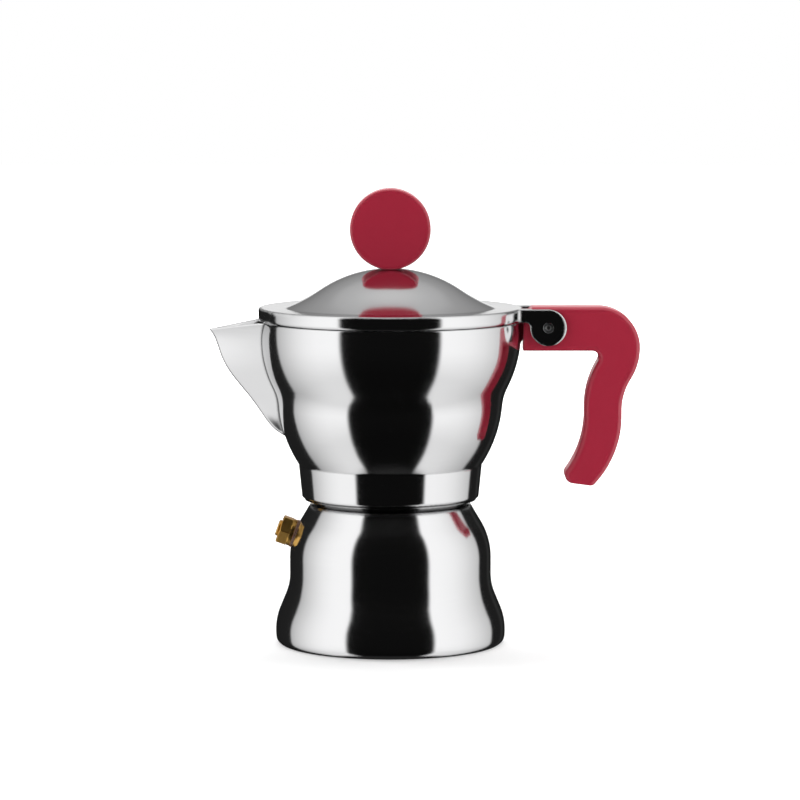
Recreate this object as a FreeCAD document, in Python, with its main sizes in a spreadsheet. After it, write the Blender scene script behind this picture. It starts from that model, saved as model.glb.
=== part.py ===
"""A one-cup moka pot: boiler, safety valve, funnel, seal, collector with spout, lid, knob and handle.

Millimetres. The origin is the centre of the boiler's base, +Z is up, the spout points to -X and
the handle to +X.
"""
import FreeCAD, Part
import math
import os
import re
import Sketcher

DIMENSIONS = (
    # Boiler: foot, waist, belly, shoulder and neck of the lower vessel.
    ("foot_radius", 37.9, "widest radius of the foot"),
    ("foot_level", 4.5, "height of the widest ring of the foot"),
    ("foot_curve", 18.7, "radius of the foot's bulge"),
    ("base_edge", 2.4, "rounding between the base and the foot"),
    ("waist_depth", 4.7, "how far the waist lies inside the foot"),
    ("waist_rise", 18.5, "height of the straight waist's lower end over the foot's widest ring"),
    ("waist_curve", 17.3, "radius of the hollow below the waist"),
    ("waist_height", 5.5, "height of the straight waist"),
    ("belly_curve", 22.6, "radius of the bulge above the waist"),
    ("shoulder_width", 1.4, "width of the ledge between shoulder and neck"),
    ("shoulder_lift", 1.54, "height of the shoulder over the belly's curve at the same radius"),
    ("neck_radius", 25.0, "radius of the neck at the root of its thread"),
    ("neck_height", 9.6, "height of the neck over the shoulder"),
    ("neck_wall", 2.2, "wall of the neck"),
    ("boiler_wall", 3.0, "wall of the boiler"),
    ("boiler_floor", 3.6, "thickness of the boiler's floor"),
    ("floor_edge", 3.0, "rounding inside, between floor and wall"),
    ("base_groove_inset", 8.9, "how far the groove under the base lies inside the foot"),
    ("base_groove_width", 2.4, "width of the groove under the base"),
    ("base_groove_depth", 0.5, "depth of the groove under the base"),
    # Thread between the boiler's neck and the collector's skirt.
    ("thread_pitch", 3.0, "rise of the thread in one turn"),
    ("thread_height", 0.9, "height of the ridge over the neck"),
    ("thread_root", 2.0, "width of the ridge at the neck"),
    ("thread_crest", 0.8, "width of the ridge at its crest"),
    ("thread_lift", 2.0, "height of the ridge's lower end over the shoulder, to its middle"),
    ("thread_turns", 1.8, "turns of the ridge"),
    ("thread_runout", 1.2, "turns that the groove runs on past the ridge, below and above"),
    ("thread_gap", 0.3, "clearance between ridge and groove"),
    # Safety valve, along its own axis from the flat that it seats on.
    ("valve_tilt", 20.0, "degrees that the valve points up"),
    ("valve_seat_depth", 0.6, "depth of the flat under the boiler's surface"),
    ("valve_seat_radius", 5.2, "radius of the flat"),
    ("washer_radius", 4.7, "outer radius of the sealing washer"),
    ("washer_thickness", 0.8, "thickness of the sealing washer"),
    ("shank_radius", 3.5, "radius of the valve's shank"),
    ("shank_length", 6.4, "length of the shank from the flat into the boiler"),
    ("flange_radius", 4.5, "radius of the round flange"),
    ("flange_thickness", 1.3, "thickness of the round flange"),
    ("hex_width", 8.7, "hexagon across its flats"),
    ("hex_length", 3.5, "length of the hexagon"),
    ("hex_chamfer", 0.5, "chamfer at the hexagon's corners"),
    ("inlet_radius", 1.0, "radius of the steam inlet"),
    ("chamber_radius", 2.1, "radius of the chamber that holds ball and spring"),
    ("ball_seat_level", -1.5, "place of the ball's seat along the axis"),
    ("ball_radius", 1.5, "radius of the valve's ball"),
    ("ball_lift_gap", 0.05, "gap between ball and seat"),
    ("spring_radius", 1.25, "radius of the spring to the middle of its wire"),
    ("spring_wire", 0.4, "diameter of the spring's wire"),
    ("spring_turns", 2.5, "turns of the spring"),
    ("cap_radius", 2.7, "radius of the valve cap's head"),
    ("cap_head", 0.9, "length of the cap's head"),
    ("cap_plug", 2.3, "length of the cap's plug inside the chamber"),
    ("cap_edge", 0.3, "rounding of the cap's head"),
    ("vent_radius", 0.7, "radius of the steam vent in the cap"),
    # Funnel: basket with its rim, the lower filter and the tube into the water.
    ("funnel_gap", 0.35, "gap between basket and neck"),
    ("funnel_wall", 0.8, "wall of the basket"),
    ("funnel_rim_gap", 0.1, "how far the rim stays inside the neck's radius"),
    ("basket_depth", 12.8, "depth of the ledge that the lower filter lies on, under the neck's rim"),
    ("ledge_width", 1.4, "width of that ledge"),
    ("cone_height", 6.5, "height of the basket's cone"),
    ("collar_length", 5.5, "length of the collar round the tube"),
    ("stem_radius", 3.4, "outer radius of the tube"),
    ("stem_wall", 0.7, "wall of the tube"),
    ("stem_clearance", 3.0, "gap between the tube's open end and the boiler's floor"),
    ("lower_filter_thickness", 0.6, "thickness of the lower filter"),
    ("hole_radius", 0.5, "radius of the filters' holes"),
    ("hole_pitch", 4.0, "distance between the rings of holes"),
    ("fit_gap", 0.05, "clearance of pieces that are pressed or screwed together"),
    # Seal: rubber ring and upper filter under the collector.
    ("gasket_thickness", 2.8, "thickness of the rubber ring"),
    ("gasket_overhang", 0.4, "how far the rubber ring stands out over the neck"),
    ("gasket_width", 5.8, "width of the rubber ring"),
    ("seal_gap", 0.3, "gap round the rubber ring and the upper filter"),
    ("filter_inset", 2.9, "how far the upper filter lies inside the rubber ring"),
    ("filter_thickness", 0.7, "thickness of the upper filter"),
    # Collector: skirt, lower bulge, waist, upper bulge and rim of the upper vessel.
    ("skirt_gap", 1.6, "gap between the boiler's shoulder and the skirt"),
    ("skirt_wall", 4.15, "thickness of the skirt over the neck, at its lower edge"),
    ("skirt_edge", 0.5, "rounding of the skirt's lower edge"),
    ("skirt_flare", 1.0, "how much wider the skirt is at its upper end"),
    ("skirt_height", 11.1, "height of the skirt up to the crease"),
    ("foot_ring_height", 0.8, "height of the narrow ring under the skirt"),
    ("foot_ring_inset", 0.9, "how far that ring lies inside the skirt"),
    ("step_rise", 0.4, "height of the crease"),
    ("crest_step", 5.93, "how far the lower bulge lies inside the upper one"),
    ("lower_crest_rise", 23.7, "height of the lower bulge's centre over the crease"),
    ("lower_crest_curve", 42.6, "radius of the lower bulge's curve"),
    ("hollow_curve", 16.0, "radius of the hollow between the bulges"),
    ("upper_crest_radius", 43.0, "widest radius of the upper bulge"),
    ("upper_crest_drop", 3.6, "depth of the upper bulge's centre under the rim"),
    ("upper_crest_curve", 40.0, "radius of the upper bulge's curve"),
    ("collector_height", 47.7, "height of the rim over the crease"),
    ("collector_wall", 2.5, "wall of the collector"),
    ("floor_thickness", 2.4, "thickness of the collector's floor over the dish"),
    ("collector_floor_edge", 4.0, "rounding inside, between floor and wall"),
    ("dish_inset", 4.0, "how far the dish over the upper filter lies inside its edge"),
    ("dish_rise", 1.8, "height of the dish over the upper filter"),
    ("cut_over", 1.0, "how far cuts run past the faces that they open"),
    # Spout: V sections from the foot of the keel to the lip.
    ("spout_depth", 13.0, "how far the V sections reach back inside the upper bulge"),
    ("lip_overhang", 21.6, "reach of the keel past the upper bulge, at the top section"),
    ("lip_half", 18.6, "half width of the top section at its open side"),
    ("under_lip_drop", 4.6, "depth of the section where the lip's beak starts, under the rim"),
    ("under_lip_overhang", 15.15, "reach of the keel there past the upper bulge"),
    ("under_lip_half", 16.3, "half width there"),
    ("upper_keel_drop", 9.6, "depth of the third section under the rim"),
    ("upper_keel_overhang", 13.3, "reach of the keel there past the upper bulge"),
    ("upper_keel_half", 14.0, "half width there"),
    ("middle_keel_drop", 20.6, "depth of the fourth section under the rim"),
    ("middle_keel_overhang", 6.9, "reach of the keel there past the upper bulge"),
    ("middle_keel_half", 9.2, "half width there"),
    ("lower_keel_drop", 29.6, "depth of the fifth section under the rim"),
    ("lower_keel_overhang", 0.0, "reach of the keel there past the upper bulge"),
    ("lower_keel_half", 5.2, "half width there"),
    ("keel_foot_drop", 38.0, "depth of the lowest section under the rim"),
    ("keel_foot_overhang", -8.2, "reach of the keel there past the upper bulge"),
    ("keel_foot_half", 1.8, "half width there"),
    ("keel_wall", 2.5, "wall of the spout along its keel"),
    ("spout_side_wall", 1.45, "wall of the spout's sides, measured across"),
    ("tip_trim", 3.4, "how much the sloped lip takes off the keel's reach"),
    ("tip_drop", 2.85, "depth of the lip's tip under the rim"),
    # Column that the coffee rises through, and its cap.
    ("column_bore", 2.6, "inner radius of the column"),
    ("column_foot_radius", 5.6, "radius of the column on the floor"),
    ("column_top_radius", 4.0, "radius of the column at its top"),
    ("column_spigot_radius", 5.0, "radius of the spigot through the floor"),
    ("column_height", 31.4, "height of the column over the floor"),
    ("column_cap_radius", 4.4, "radius of the column's cap"),
    ("column_cap_height", 6.5, "height of the cap over the column"),
    ("column_cap_plug", 5.0, "length of the cap's plug in the column"),
    ("column_cap_bore", 1.7, "inner radius of the cap"),
    ("outlet_radius", 1.5, "radius of the cap's cross outlet"),
    # Hinge: pin axis, boss and tongue on the collector, ears on the lid.
    ("pin_offset", 8.1, "distance of the hinge axis from the boss's face"),
    ("pin_drop", 6.0, "depth of the hinge axis under the lid's flat ring"),
    ("sleeve_radius", 1.7, "radius of the hinge sleeve"),
    ("screw_radius", 1.0, "radius of the hinge screw's shank"),
    ("screw_head", 1.4, "thickness of the hinge screw's head"),
    ("screw_length", 13.0, "length of the hinge screw's shank"),
    ("socket_radius", 0.9, "radius of the hexagon socket, to its corners"),
    ("socket_depth", 0.8, "depth of the hexagon socket"),
    ("pin_recess", 0.2, "how far the hinge screw lies inside the ear's face"),
    ("pin_gap", 0.06, "running clearance of the ears on the sleeve"),
    ("boss_proud", 0.5, "how far the boss's face stands out past the upper bulge"),
    ("boss_half", 4.0, "half width of the boss at the collector's rim"),
    ("boss_flare", 3.0, "radius of the hollow beside the boss"),
    ("boss_drop", 5.4, "height of the boss's upright part"),
    ("boss_drop_sink", 0.3, "how far inside the bulge the boss's hollows run out there"),
    ("boss_drop_half", 4.0, "half width of the boss there"),
    ("boss_height", 10.0, "height of the boss"),
    ("boss_foot_sink", 2.0, "how far inside the bulge the boss's lower end runs out"),
    ("boss_foot_setback", 2.2, "how far the boss's lower end lies behind its face"),
    ("boss_foot_half", 3.5, "half width of the boss's lower end"),
    ("boss_depth", 8.0, "how far the boss reaches back into the wall"),
    ("tongue_radius", 4.3, "radius of the tongue's round end"),
    ("tongue_thickness", 5.0, "thickness of the tongue"),
    ("tongue_step", 1.4, "height of the tongue's root over the hinge axis"),
    ("tongue_step_start", 0.7, "distance from the boss's face where the tongue starts to rise"),
    ("tongue_step_end", 4.0, "distance from the boss's face where the tongue is at full height"),
    ("ear_radius", 5.95, "radius of the ears round the hinge axis"),
    ("ear_thickness", 3.8, "thickness of each ear"),
    ("ear_gap", 0.3, "gap between ear and handle"),
    ("ear_hollow", 1.7, "radius of the hollow under the ear's root"),
    # Lid.
    ("lid_gap", 0.3, "gap between the collector's rim and the lid"),
    ("lid_height", 4.2, "height of the lid's rim"),
    ("lid_overhang", 0.3, "how far the lid stands out past the upper bulge"),
    ("lid_edge", 0.5, "rounding of the lid's upper edge"),
    ("lid_band", 2.6, "thickness of the lid's rim"),
    ("lid_wall", 1.9, "wall of the lid"),
    ("ring_width", 8.6, "width of the flat ring between the lid's rim and the dome"),
    ("dome_height", 12.9, "height of the dome over the flat ring"),
    ("dome_curve", 41.5, "radius of the dome's round top"),
    ("dome_sweep", 50.0, "radius of the dome's hollow foot"),
    ("pad_radius", 5.0, "radius of the flat pad under the dome"),
    ("pad_thickness", 2.4, "thickness of the lid at the pad"),
    # Knob and what holds it.
    ("knob_radius", 13.2, "radius of the knob"),
    ("knob_sink", 0.3, "how deep the knob's round reaches into the dome"),
    ("knob_thickness", 11.5, "thickness of the knob"),
    ("knob_edge", 1.0, "rounding of the knob's edges"),
    ("insert_radius", 2.5, "radius of the threaded insert"),
    ("insert_length", 8.0, "length of the threaded insert"),
    ("insert_inset", 0.4, "depth of the insert's face inside the knob"),
    ("knob_gap", 0.05, "gap between knob and dome"),
    ("knob_screw_radius", 1.5, "radius of the knob screw's shank"),
    ("knob_screw_length", 6.5, "length of the knob screw's shank over the dome"),
    ("knob_screw_head_radius", 2.8, "radius of the knob screw's head"),
    ("knob_screw_head", 1.8, "height of the knob screw's head"),
    ("knob_screw_slot", 0.7, "width of the slot in the knob screw's head"),
    ("knob_screw_slot_depth", 0.8, "depth of the slot in the knob screw's head"),
    ("knob_hole_gap", 0.2, "clearance of the knob screw in lid and washer"),
    ("knob_washer_radius", 3.6, "outer radius of the washer under the lid"),
    ("knob_washer_thickness", 0.6, "thickness of that washer"),
    # Handle.
    ("handle_thickness", 12.4, "thickness of the handle"),
    ("handle_edge", 1.75, "rounding of the handle's edges"),
    ("handle_rise", 0.4, "height of the handle's upper face over the lid's flat ring"),
    ("arm_depth", 14.4, "depth of the handle's arm"),
    ("handle_face_gap", 0.1, "gap between the handle's end and the boss"),
    ("handle_turn", 8.1, "radius of the handle's end round the hinge axis"),
    ("handle_length", 30.25, "distance of the handle's outermost point from the hinge axis"),
    ("handle_corner", 13.35, "radius of the handle's upper corner"),
    ("handle_inner_corner", 2.2, "radius of the corner under the arm"),
    ("grip_curve", 19.6, "radius of the grip's outer swell under the corner"),
    ("grip_back_depth", 5.9, "depth of the grip's outer hollow"),
    ("grip_back_drop", 19.5, "depth of the outer hollow's upper end under the arm"),
    ("grip_back_run", 2.2, "length of the straight stretch in the outer hollow"),
    ("grip_tail_curve", 32.5, "radius of the outer side's lower curve"),
    ("grip_thickness", 12.1, "thickness of the grip from front to back"),
    ("grip_front_drop", 18.7, "depth of the inner swell's upper end under the arm"),
    ("grip_front_curve", 30.0, "radius of the grip's inner side under the arm"),
    ("grip_front_run", 2.2, "length of the straight stretch on the inner side"),
    ("tail_edge", 1.9, "radius of the tail's outer corner"),
    ("tail_drop", 20.9, "height from the tail's outer corner up to the outer hollow"),
    ("tail_tip_inset", 3.6, "how far the tail tip's centre lies inside the inner swell"),
    ("tail_tip_rise", 1.7, "height of the tail tip's centre over the outer corner's"),
    ("tail_tip_round", 2.85, "radius of the tail's tip"),
    ("tongue_gap", 0.15, "clearance of the tongue in the handle's slot"),
)

# Sizes and places that follow from the driving dimensions.
DERIVED = {
    "dish_level": "neck_level + funnel_wall + gasket_thickness + filter_thickness + seal_gap + dish_rise",
    "waist_level": "foot_level + waist_rise",
    "belly_level": "waist_level + waist_height",
    "waist_radius": "foot_radius - waist_depth",
    "shoulder_radius": "neck_radius + shoulder_width",
    "belly_hub": "waist_radius - belly_curve",
    "belly_run": "shoulder_radius - belly_hub",
    "shoulder_level": "belly_level + sqrt(belly_curve ^ 2 - belly_run ^ 2) + shoulder_lift",
    "neck_level": "shoulder_level + neck_height",
    "neck_bore": "neck_radius - neck_wall",
    "base_groove_radius": "foot_radius - base_groove_inset",
    "thread_start": "shoulder_level + thread_lift",
    "basket_floor": "neck_level - basket_depth",
    "cone_level": "basket_floor - cone_height",
    "collar_level": "cone_level - collar_length",
    "stem_foot": "boiler_floor + stem_clearance",
    "gasket_radius": "neck_radius + gasket_overhang",
    "gasket_bore": "gasket_radius - gasket_width",
    "filter_radius": "gasket_radius - filter_inset",
    "skirt_level": "shoulder_level + skirt_gap",
    "skirt_radius": "neck_radius + skirt_wall",
    "foot_ring_radius": "skirt_radius - foot_ring_inset",
    "foot_ring_top": "skirt_level + foot_ring_height",
    "step_radius": "skirt_radius + skirt_flare",
    "step_level": "skirt_level + skirt_height",
    "lower_crest_radius": "upper_crest_radius - crest_step",
    "lower_crest_level": "step_level + lower_crest_rise",
    "upper_crest_level": "rim_level - upper_crest_drop",
    "rim_level": "step_level + collector_height",
    "collector_floor": "dish_level + floor_thickness",
    "dish_radius": "filter_radius - dish_inset",
    "lip_level": "rim_level",
    "lip_reach": "upper_crest_radius + lip_overhang",
    "under_lip_level": "rim_level - under_lip_drop",
    "under_lip_reach": "upper_crest_radius + under_lip_overhang",
    "upper_keel_level": "rim_level - upper_keel_drop",
    "upper_keel_reach": "upper_crest_radius + upper_keel_overhang",
    "middle_keel_level": "rim_level - middle_keel_drop",
    "middle_keel_reach": "upper_crest_radius + middle_keel_overhang",
    "lower_keel_level": "rim_level - lower_keel_drop",
    "lower_keel_reach": "upper_crest_radius + lower_keel_overhang",
    "keel_foot_level": "rim_level - keel_foot_drop",
    "keel_foot_reach": "upper_crest_radius + keel_foot_overhang",
    "spout_root": "upper_crest_radius - spout_depth",
    "tip_reach": "lip_reach - tip_trim",
    "tip_level": "rim_level - tip_drop",
    "column_top": "collector_floor + column_height",
    "pin_reach": "boss_reach + pin_offset",
    "pin_level": "lid_top - pin_drop",
    "boss_reach": "upper_crest_radius + boss_proud",
    "boss_drop_level": "rim_level - boss_drop",
    "boss_drop_radius": "upper_crest_radius - boss_drop_sink",
    "boss_foot": "rim_level - boss_height",
    "boss_foot_radius": "upper_crest_radius - boss_foot_sink",
    "boss_foot_reach": "boss_reach - boss_foot_setback",
    "tongue_step_reach": "boss_reach + tongue_step_start",
    "tongue_top_reach": "boss_reach + tongue_step_end",
    "ear_root": "lid_radius - lid_band",
    "lid_foot": "rim_level + lid_gap",
    "lid_top": "lid_foot + lid_height",
    "lid_radius": "upper_crest_radius + lid_overhang",
    "dome_radius": "lid_radius - ring_width",
    "dome_top": "lid_top + dome_height",
    "knob_centre": "dome_top + knob_radius - knob_sink",
    "handle_top": "lid_top + handle_rise",
    "handle_under": "handle_top - arm_depth",
    "handle_reach": "pin_reach + handle_length",
    "grip_back": "handle_reach - grip_back_depth",
    "grip_back_level": "handle_under - grip_back_drop",
    "grip_tail_level": "grip_back_level - grip_back_run",
    "grip_front": "grip_back - grip_thickness",
    "grip_front_level": "handle_under - grip_front_drop",
    "grip_inner_level": "grip_front_level - grip_front_run",
    "tail_level": "grip_tail_level - tail_drop",
    "tail_tip_reach": "grip_front - tail_tip_inset",
    "tail_tip_level": "tail_level + tail_tip_rise",
}

VECTOR = FreeCAD.Vector
ALIASES = {alias for alias, number, note in DIMENSIONS}
doc = FreeCAD.newDocument("MokaPot")


def make_sheet():
    """Write the driving dimensions into a spreadsheet, one aliased row each."""
    page = doc.addObject("Spreadsheet::Sheet", "Dimensions")
    for row, (alias, number, note) in enumerate(DIMENSIONS, start=1):
        page.set("A%d" % row, note)
        page.set("B%d" % row, str(number))
        page.setAlias("B%d" % row, alias)
    doc.recompute()
    return page


sheet = make_sheet()


def bound(text):
    """A formula of plain names as an expression on the sheet."""

    def reference(match):
        word = match.group()
        if word in DERIVED:
            return "(%s)" % bound(DERIVED[word])
        return "Dimensions." + word if word in ALIASES else word

    return re.sub(r"[a-z_]+", reference, text)


def size(text):
    """The present value of a formula of aliases."""
    return float(sheet.evalExpression(bound(text)))


def circles_meet(first, first_radius, second, second_radius, side):
    """Where two circles cross, on the left (+1) or right (-1) of the way from first to second."""
    across, up = second[0] - first[0], second[1] - first[1]
    apart = math.hypot(across, up)
    along = (apart ** 2 + first_radius ** 2 - second_radius ** 2) / (2 * apart)
    off = side * math.sqrt(first_radius ** 2 - along ** 2)
    return (first[0] + (along * across - off * up) / apart,
            first[1] + (along * up + off * across) / apart)


def toward(start, end, distance):
    """The point at a distance from start on the way to end."""
    apart = math.dist(start, end)
    return tuple(a + (b - a) * distance / apart for a, b in zip(start, end))


def polar(centre, radius, degrees):
    """The point at an angle on a circle."""
    turn = math.radians(degrees)
    return (centre[0] + radius * math.cos(turn), centre[1] + radius * math.sin(turn))


def touch_line(centre, radius, point, side):
    """Where a line from a point touches a circle, left (+1) or right (-1) of the way to the centre."""
    reach = math.sqrt(math.dist(centre, point) ** 2 - radius ** 2)
    return circles_meet(point, reach, centre, radius, side)


def origin_feature(body, role):
    """A plane or axis of a body's own origin."""
    return next(item for item in body.Origin.OriginFeatures if item.Role == role)


class Outline:
    """A closed sketch drawn from corner to corner.

    A corner's coordinates are formulas of the sheet. A coordinate given as a number is only a first
    guess, which the sketch's other constraints settle. A smooth corner joins its edges tangentially.
    """

    def __init__(self, body, name, plane="XZ_Plane", level=None):
        self.sketch = body.newObject("Sketcher::SketchObject", name)
        self.sketch.AttachmentSupport = [(origin_feature(body, plane), "")]
        self.sketch.MapMode = "FlatFace"
        if level:
            self.sketch.setExpression("AttachmentOffset.Base.z", bound(level))
        self.corners = []
        self.edges = []

    def to(self, across, up, smooth=False, radius=None, turn=0, centre=(None, None)):
        """Add a corner, and how the edge that arrives there runs: a line, or an arc that turns
        left (+1) or right (-1) with a radius and, where given, a centre."""
        self.corners.append((across, up, smooth))
        self.edges.append((radius, turn, centre))
        return self

    def place(self, index):
        return VECTOR(*[size(part) if isinstance(part, str) else part
                        for part in self.corners[index][:2]], 0)

    def arc(self, start, end, radius, turn, centre):
        """The arc from start to end that turns left or right: under a half circle, or any length
        about a given centre."""
        chord = end - start
        if centre[0] and centre[1]:
            hub = VECTOR(size(centre[0]), size(centre[1]), 0)
        else:
            rise = math.sqrt(max(radius ** 2 - (chord.Length / 2) ** 2, 0.0))
            hub = (start + end) * 0.5 + VECTOR(-chord.y, chord.x, 0).normalize() * rise * turn
        first, last = (start, end) if turn > 0 else (end, start)
        angles = [math.atan2(spot.y - hub.y, spot.x - hub.x) for spot in (first, last)]
        return Part.ArcOfCircle(Part.Circle(hub, VECTOR(0, 0, 1), radius), angles[0], angles[1])

    def tie(self, kind, geometry, point, text):
        """Hold a point's distance from the sketch's origin at a formula's value."""
        if text == "0":
            axis = -2 if kind == "DistanceX" else -1
            self.sketch.addConstraint(Sketcher.Constraint("PointOnObject", geometry, point, axis))
            return
        number = self.sketch.addConstraint(Sketcher.Constraint(kind, -1, 1, geometry, point, size(text)))
        self.sketch.setExpression("Constraints[%d]" % number, bound(text))

    def close(self):
        """Draw the edges, join them and tie them to the sheet."""
        count = len(self.corners)
        for index in range(count):
            radius, turn, centre = self.edges[index]
            start, end = self.place(index - 1), self.place(index)
            if turn:
                length = size(radius) if isinstance(radius, str) else radius
                self.sketch.addGeometry(self.arc(start, end, length, turn, centre))
            else:
                self.sketch.addGeometry(Part.LineSegment(start, end))
        ends = [(1, 2) if edge[1] >= 0 else (2, 1) for edge in self.edges]
        for index in range(count):
            following = (index + 1) % count
            kind = "Tangent" if self.corners[index][2] else "Coincident"
            self.sketch.addConstraint(
                Sketcher.Constraint(kind, index, ends[index][1], following, ends[following][0]))
        for index in range(count):
            radius, turn, centre = self.edges[index]
            across, up, smooth = self.corners[index]
            if isinstance(across, str):
                self.tie("DistanceX", index, ends[index][1], across)
            if isinstance(up, str):
                self.tie("DistanceY", index, ends[index][1], up)
            if isinstance(radius, str):
                number = self.sketch.addConstraint(Sketcher.Constraint("Radius", index, size(radius)))
                self.sketch.setExpression("Constraints[%d]" % number, bound(radius))
            if centre[0]:
                self.tie("DistanceX", index, 3, centre[0])
            if centre[1]:
                self.tie("DistanceY", index, 3, centre[1])
        return self.sketch


def polygon(body, name, corners, plane="XZ_Plane", level=None):
    """A sketch of straight edges between corners given as formulas."""
    outline = Outline(body, name, plane, level)
    for across, up in corners:
        outline.to(across, up)
    return outline.close()


def circle(body, name, across, up, radius, plane="XZ_Plane", level=None):
    """A sketch of one circle."""
    outline = Outline(body, name, plane, level)
    centre = VECTOR(size(across), size(up), 0)
    outline.sketch.addGeometry(Part.Circle(centre, VECTOR(0, 0, 1), size(radius)))
    outline.tie("DistanceX", 0, 3, across)
    outline.tie("DistanceY", 0, 3, up)
    number = outline.sketch.addConstraint(Sketcher.Constraint("Radius", 0, size(radius)))
    outline.sketch.setExpression("Constraints[%d]" % number, bound(radius))
    return outline.sketch


def six_corners(body, name, radius, level):
    """A sketch of a hexagon about the Z axis, with its corners on a circle."""
    corners = [("(%s) * cos(%d deg)" % (radius, turn), "(%s) * sin(%d deg)" % (radius, turn))
               for turn in range(30, 390, 60)]
    return polygon(body, name, corners, "XY_Plane", level)


def new_body(label, placement=None):
    """A body for one piece; its label names the piece."""
    body = doc.addObject("PartDesign::Body", label)
    body.Label = label
    if placement:
        body.Placement = placement
    return body


def feature(body, kind, name, sketch, **values):
    """A feature of a sketch, with formulas bound to the sheet and other values set as they are."""
    item = body.newObject("PartDesign::" + kind, name)
    item.Profile = (sketch, [""])
    for key, value in values.items():
        if isinstance(value, str) and key != "Mode":
            item.setExpression(key, bound(value))
        else:
            setattr(item, key, value)
    return item


def turned(body, kind, name, sketch):
    """A full turn of a sketch about the body's Z axis: a Revolution or a Groove."""
    axis = (origin_feature(body, "Z_Axis"), [""])
    return feature(body, kind, name, sketch, ReferenceAxis=axis, Angle=360.0)


def through(body, name, sketch, length):
    """A pocket to both sides of its sketch."""
    return feature(body, "Pocket", name, sketch, Length=length, Midplane=True)


def slab(body, name, sketch, length):
    """A pad to both sides of its sketch."""
    return feature(body, "Pad", name, sketch, Length=length, Midplane=True)


def turned_piece(label, corners, placement=None):
    """A piece turned from one outline of straight edges."""
    body = new_body(label, placement)
    turned(body, "Revolution", label + "_turning", polygon(body, label + "_outline", corners))
    return body


def rounded(body, name, base, wanted, radius):
    """Round the edges of a feature that a test picks."""
    doc.recompute()
    names = ["Edge%d" % (index + 1) for index, edge in enumerate(base.Shape.Edges) if wanted(edge)]
    item = body.newObject("PartDesign::Fillet", name)
    item.Base = (base, names)
    item.setExpression("Radius", bound(radius))
    return item


def helix(body, kind, name, corners, turns):
    """A screw thread: a section carried up round the body's Z axis."""
    sketch = polygon(body, name + "_section", corners)
    return feature(body, kind, name, sketch, ReferenceAxis=(origin_feature(body, "Z_Axis"), [""]),
                   Mode="pitch-height-angle", Pitch="thread_pitch",
                   Height="thread_pitch * (%s)" % turns)


def ring_of_holes(body, base, ring, hole_sketch, depth):
    """One ring of a filter's holes: a pocket, repeated round the axis."""
    pocket = through(body, "%s_hole_%d" % (body.Label, ring), hole_sketch, depth)
    if ring == 0:
        return pocket
    doc.recompute()
    pattern = body.newObject("PartDesign::PolarPattern", "%s_ring_%d" % (body.Label, ring))
    pattern.Originals = [pocket]
    pattern.Axis = (origin_feature(body, "Z_Axis"), [""])
    pattern.Angle = 360.0
    pattern.Occurrences = 6 * ring
    body.Tip = pattern
    return pattern


def perforated_disc(label, bottom, thickness, radius, free_radius):
    """A thin disc with rings of holes, as many as fit inside its free radius."""
    body = turned_piece(label, (("0", bottom), (radius, bottom), (radius, bottom + " + " + thickness),
                                ("0", bottom + " + " + thickness)))
    rings = int((size(free_radius) - size("hole_radius")) / size("hole_pitch"))
    last = body.Tip
    for ring in range(rings + 1):
        place = "0" if ring == 0 else "hole_pitch * %d" % ring
        hole = circle(body, "%s_spot_%d" % (label, ring), place, "0", "hole_radius", "XY_Plane", bottom)
        last = ring_of_holes(body, last, ring, hole, "4 * " + thickness)
    return body


def boiler_side(outline, inset, floor, corner):
    """Foot, waist and belly of the boiler from its floor up to the belly's upper end.

    The inside follows the outside at the wall's distance, on the same centres.
    """
    foot = (size("foot_radius - foot_curve"), size("foot_level"))
    waist = (size("waist_radius + waist_curve"), size("waist_level"))
    belly = (size("waist_radius - belly_curve"), size("belly_level"))
    foot_curve, waist_curve = size("foot_curve - " + inset), size("waist_curve + " + inset)
    belly_curve, edge = size("belly_curve - " + inset), size(corner)
    edge_level = size(floor) + edge
    edge_hub = (foot[0] + math.sqrt((foot_curve - edge) ** 2 - (foot[1] - edge_level) ** 2), edge_level)
    heading = math.atan2(waist[1] - foot[1], waist[0] - foot[0])
    lean = math.degrees(heading - math.acos((foot_curve + waist_curve) / math.dist(foot, waist)))
    shoulder = (size("shoulder_radius"), size("shoulder_level"))
    if inset != "0":
        shoulder = (size("neck_bore"), size("shoulder_level"))
    outline.to(edge_hub[0], floor, smooth=True)
    outline.to(*toward(foot, edge_hub, foot_curve), smooth=True, radius=corner, turn=1)
    outline.to(*polar(foot, foot_curve, lean), smooth=True, radius="foot_curve - " + inset, turn=1,
               centre=("foot_radius - foot_curve", "foot_level"))
    outline.to(*polar(waist, waist_curve, lean + 180), smooth=True)
    outline.to(waist[0] - waist_curve, waist[1], smooth=True, radius="waist_curve + " + inset, turn=-1,
               centre=("waist_radius + waist_curve", "waist_level"))
    outline.to(belly[0] + belly_curve, belly[1], smooth=True)
    outline.to(*touch_line(belly, belly_curve, shoulder, 1), smooth=True, radius="belly_curve - " + inset,
               turn=1, centre=("waist_radius - belly_curve", "belly_level"))
    return outline


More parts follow.
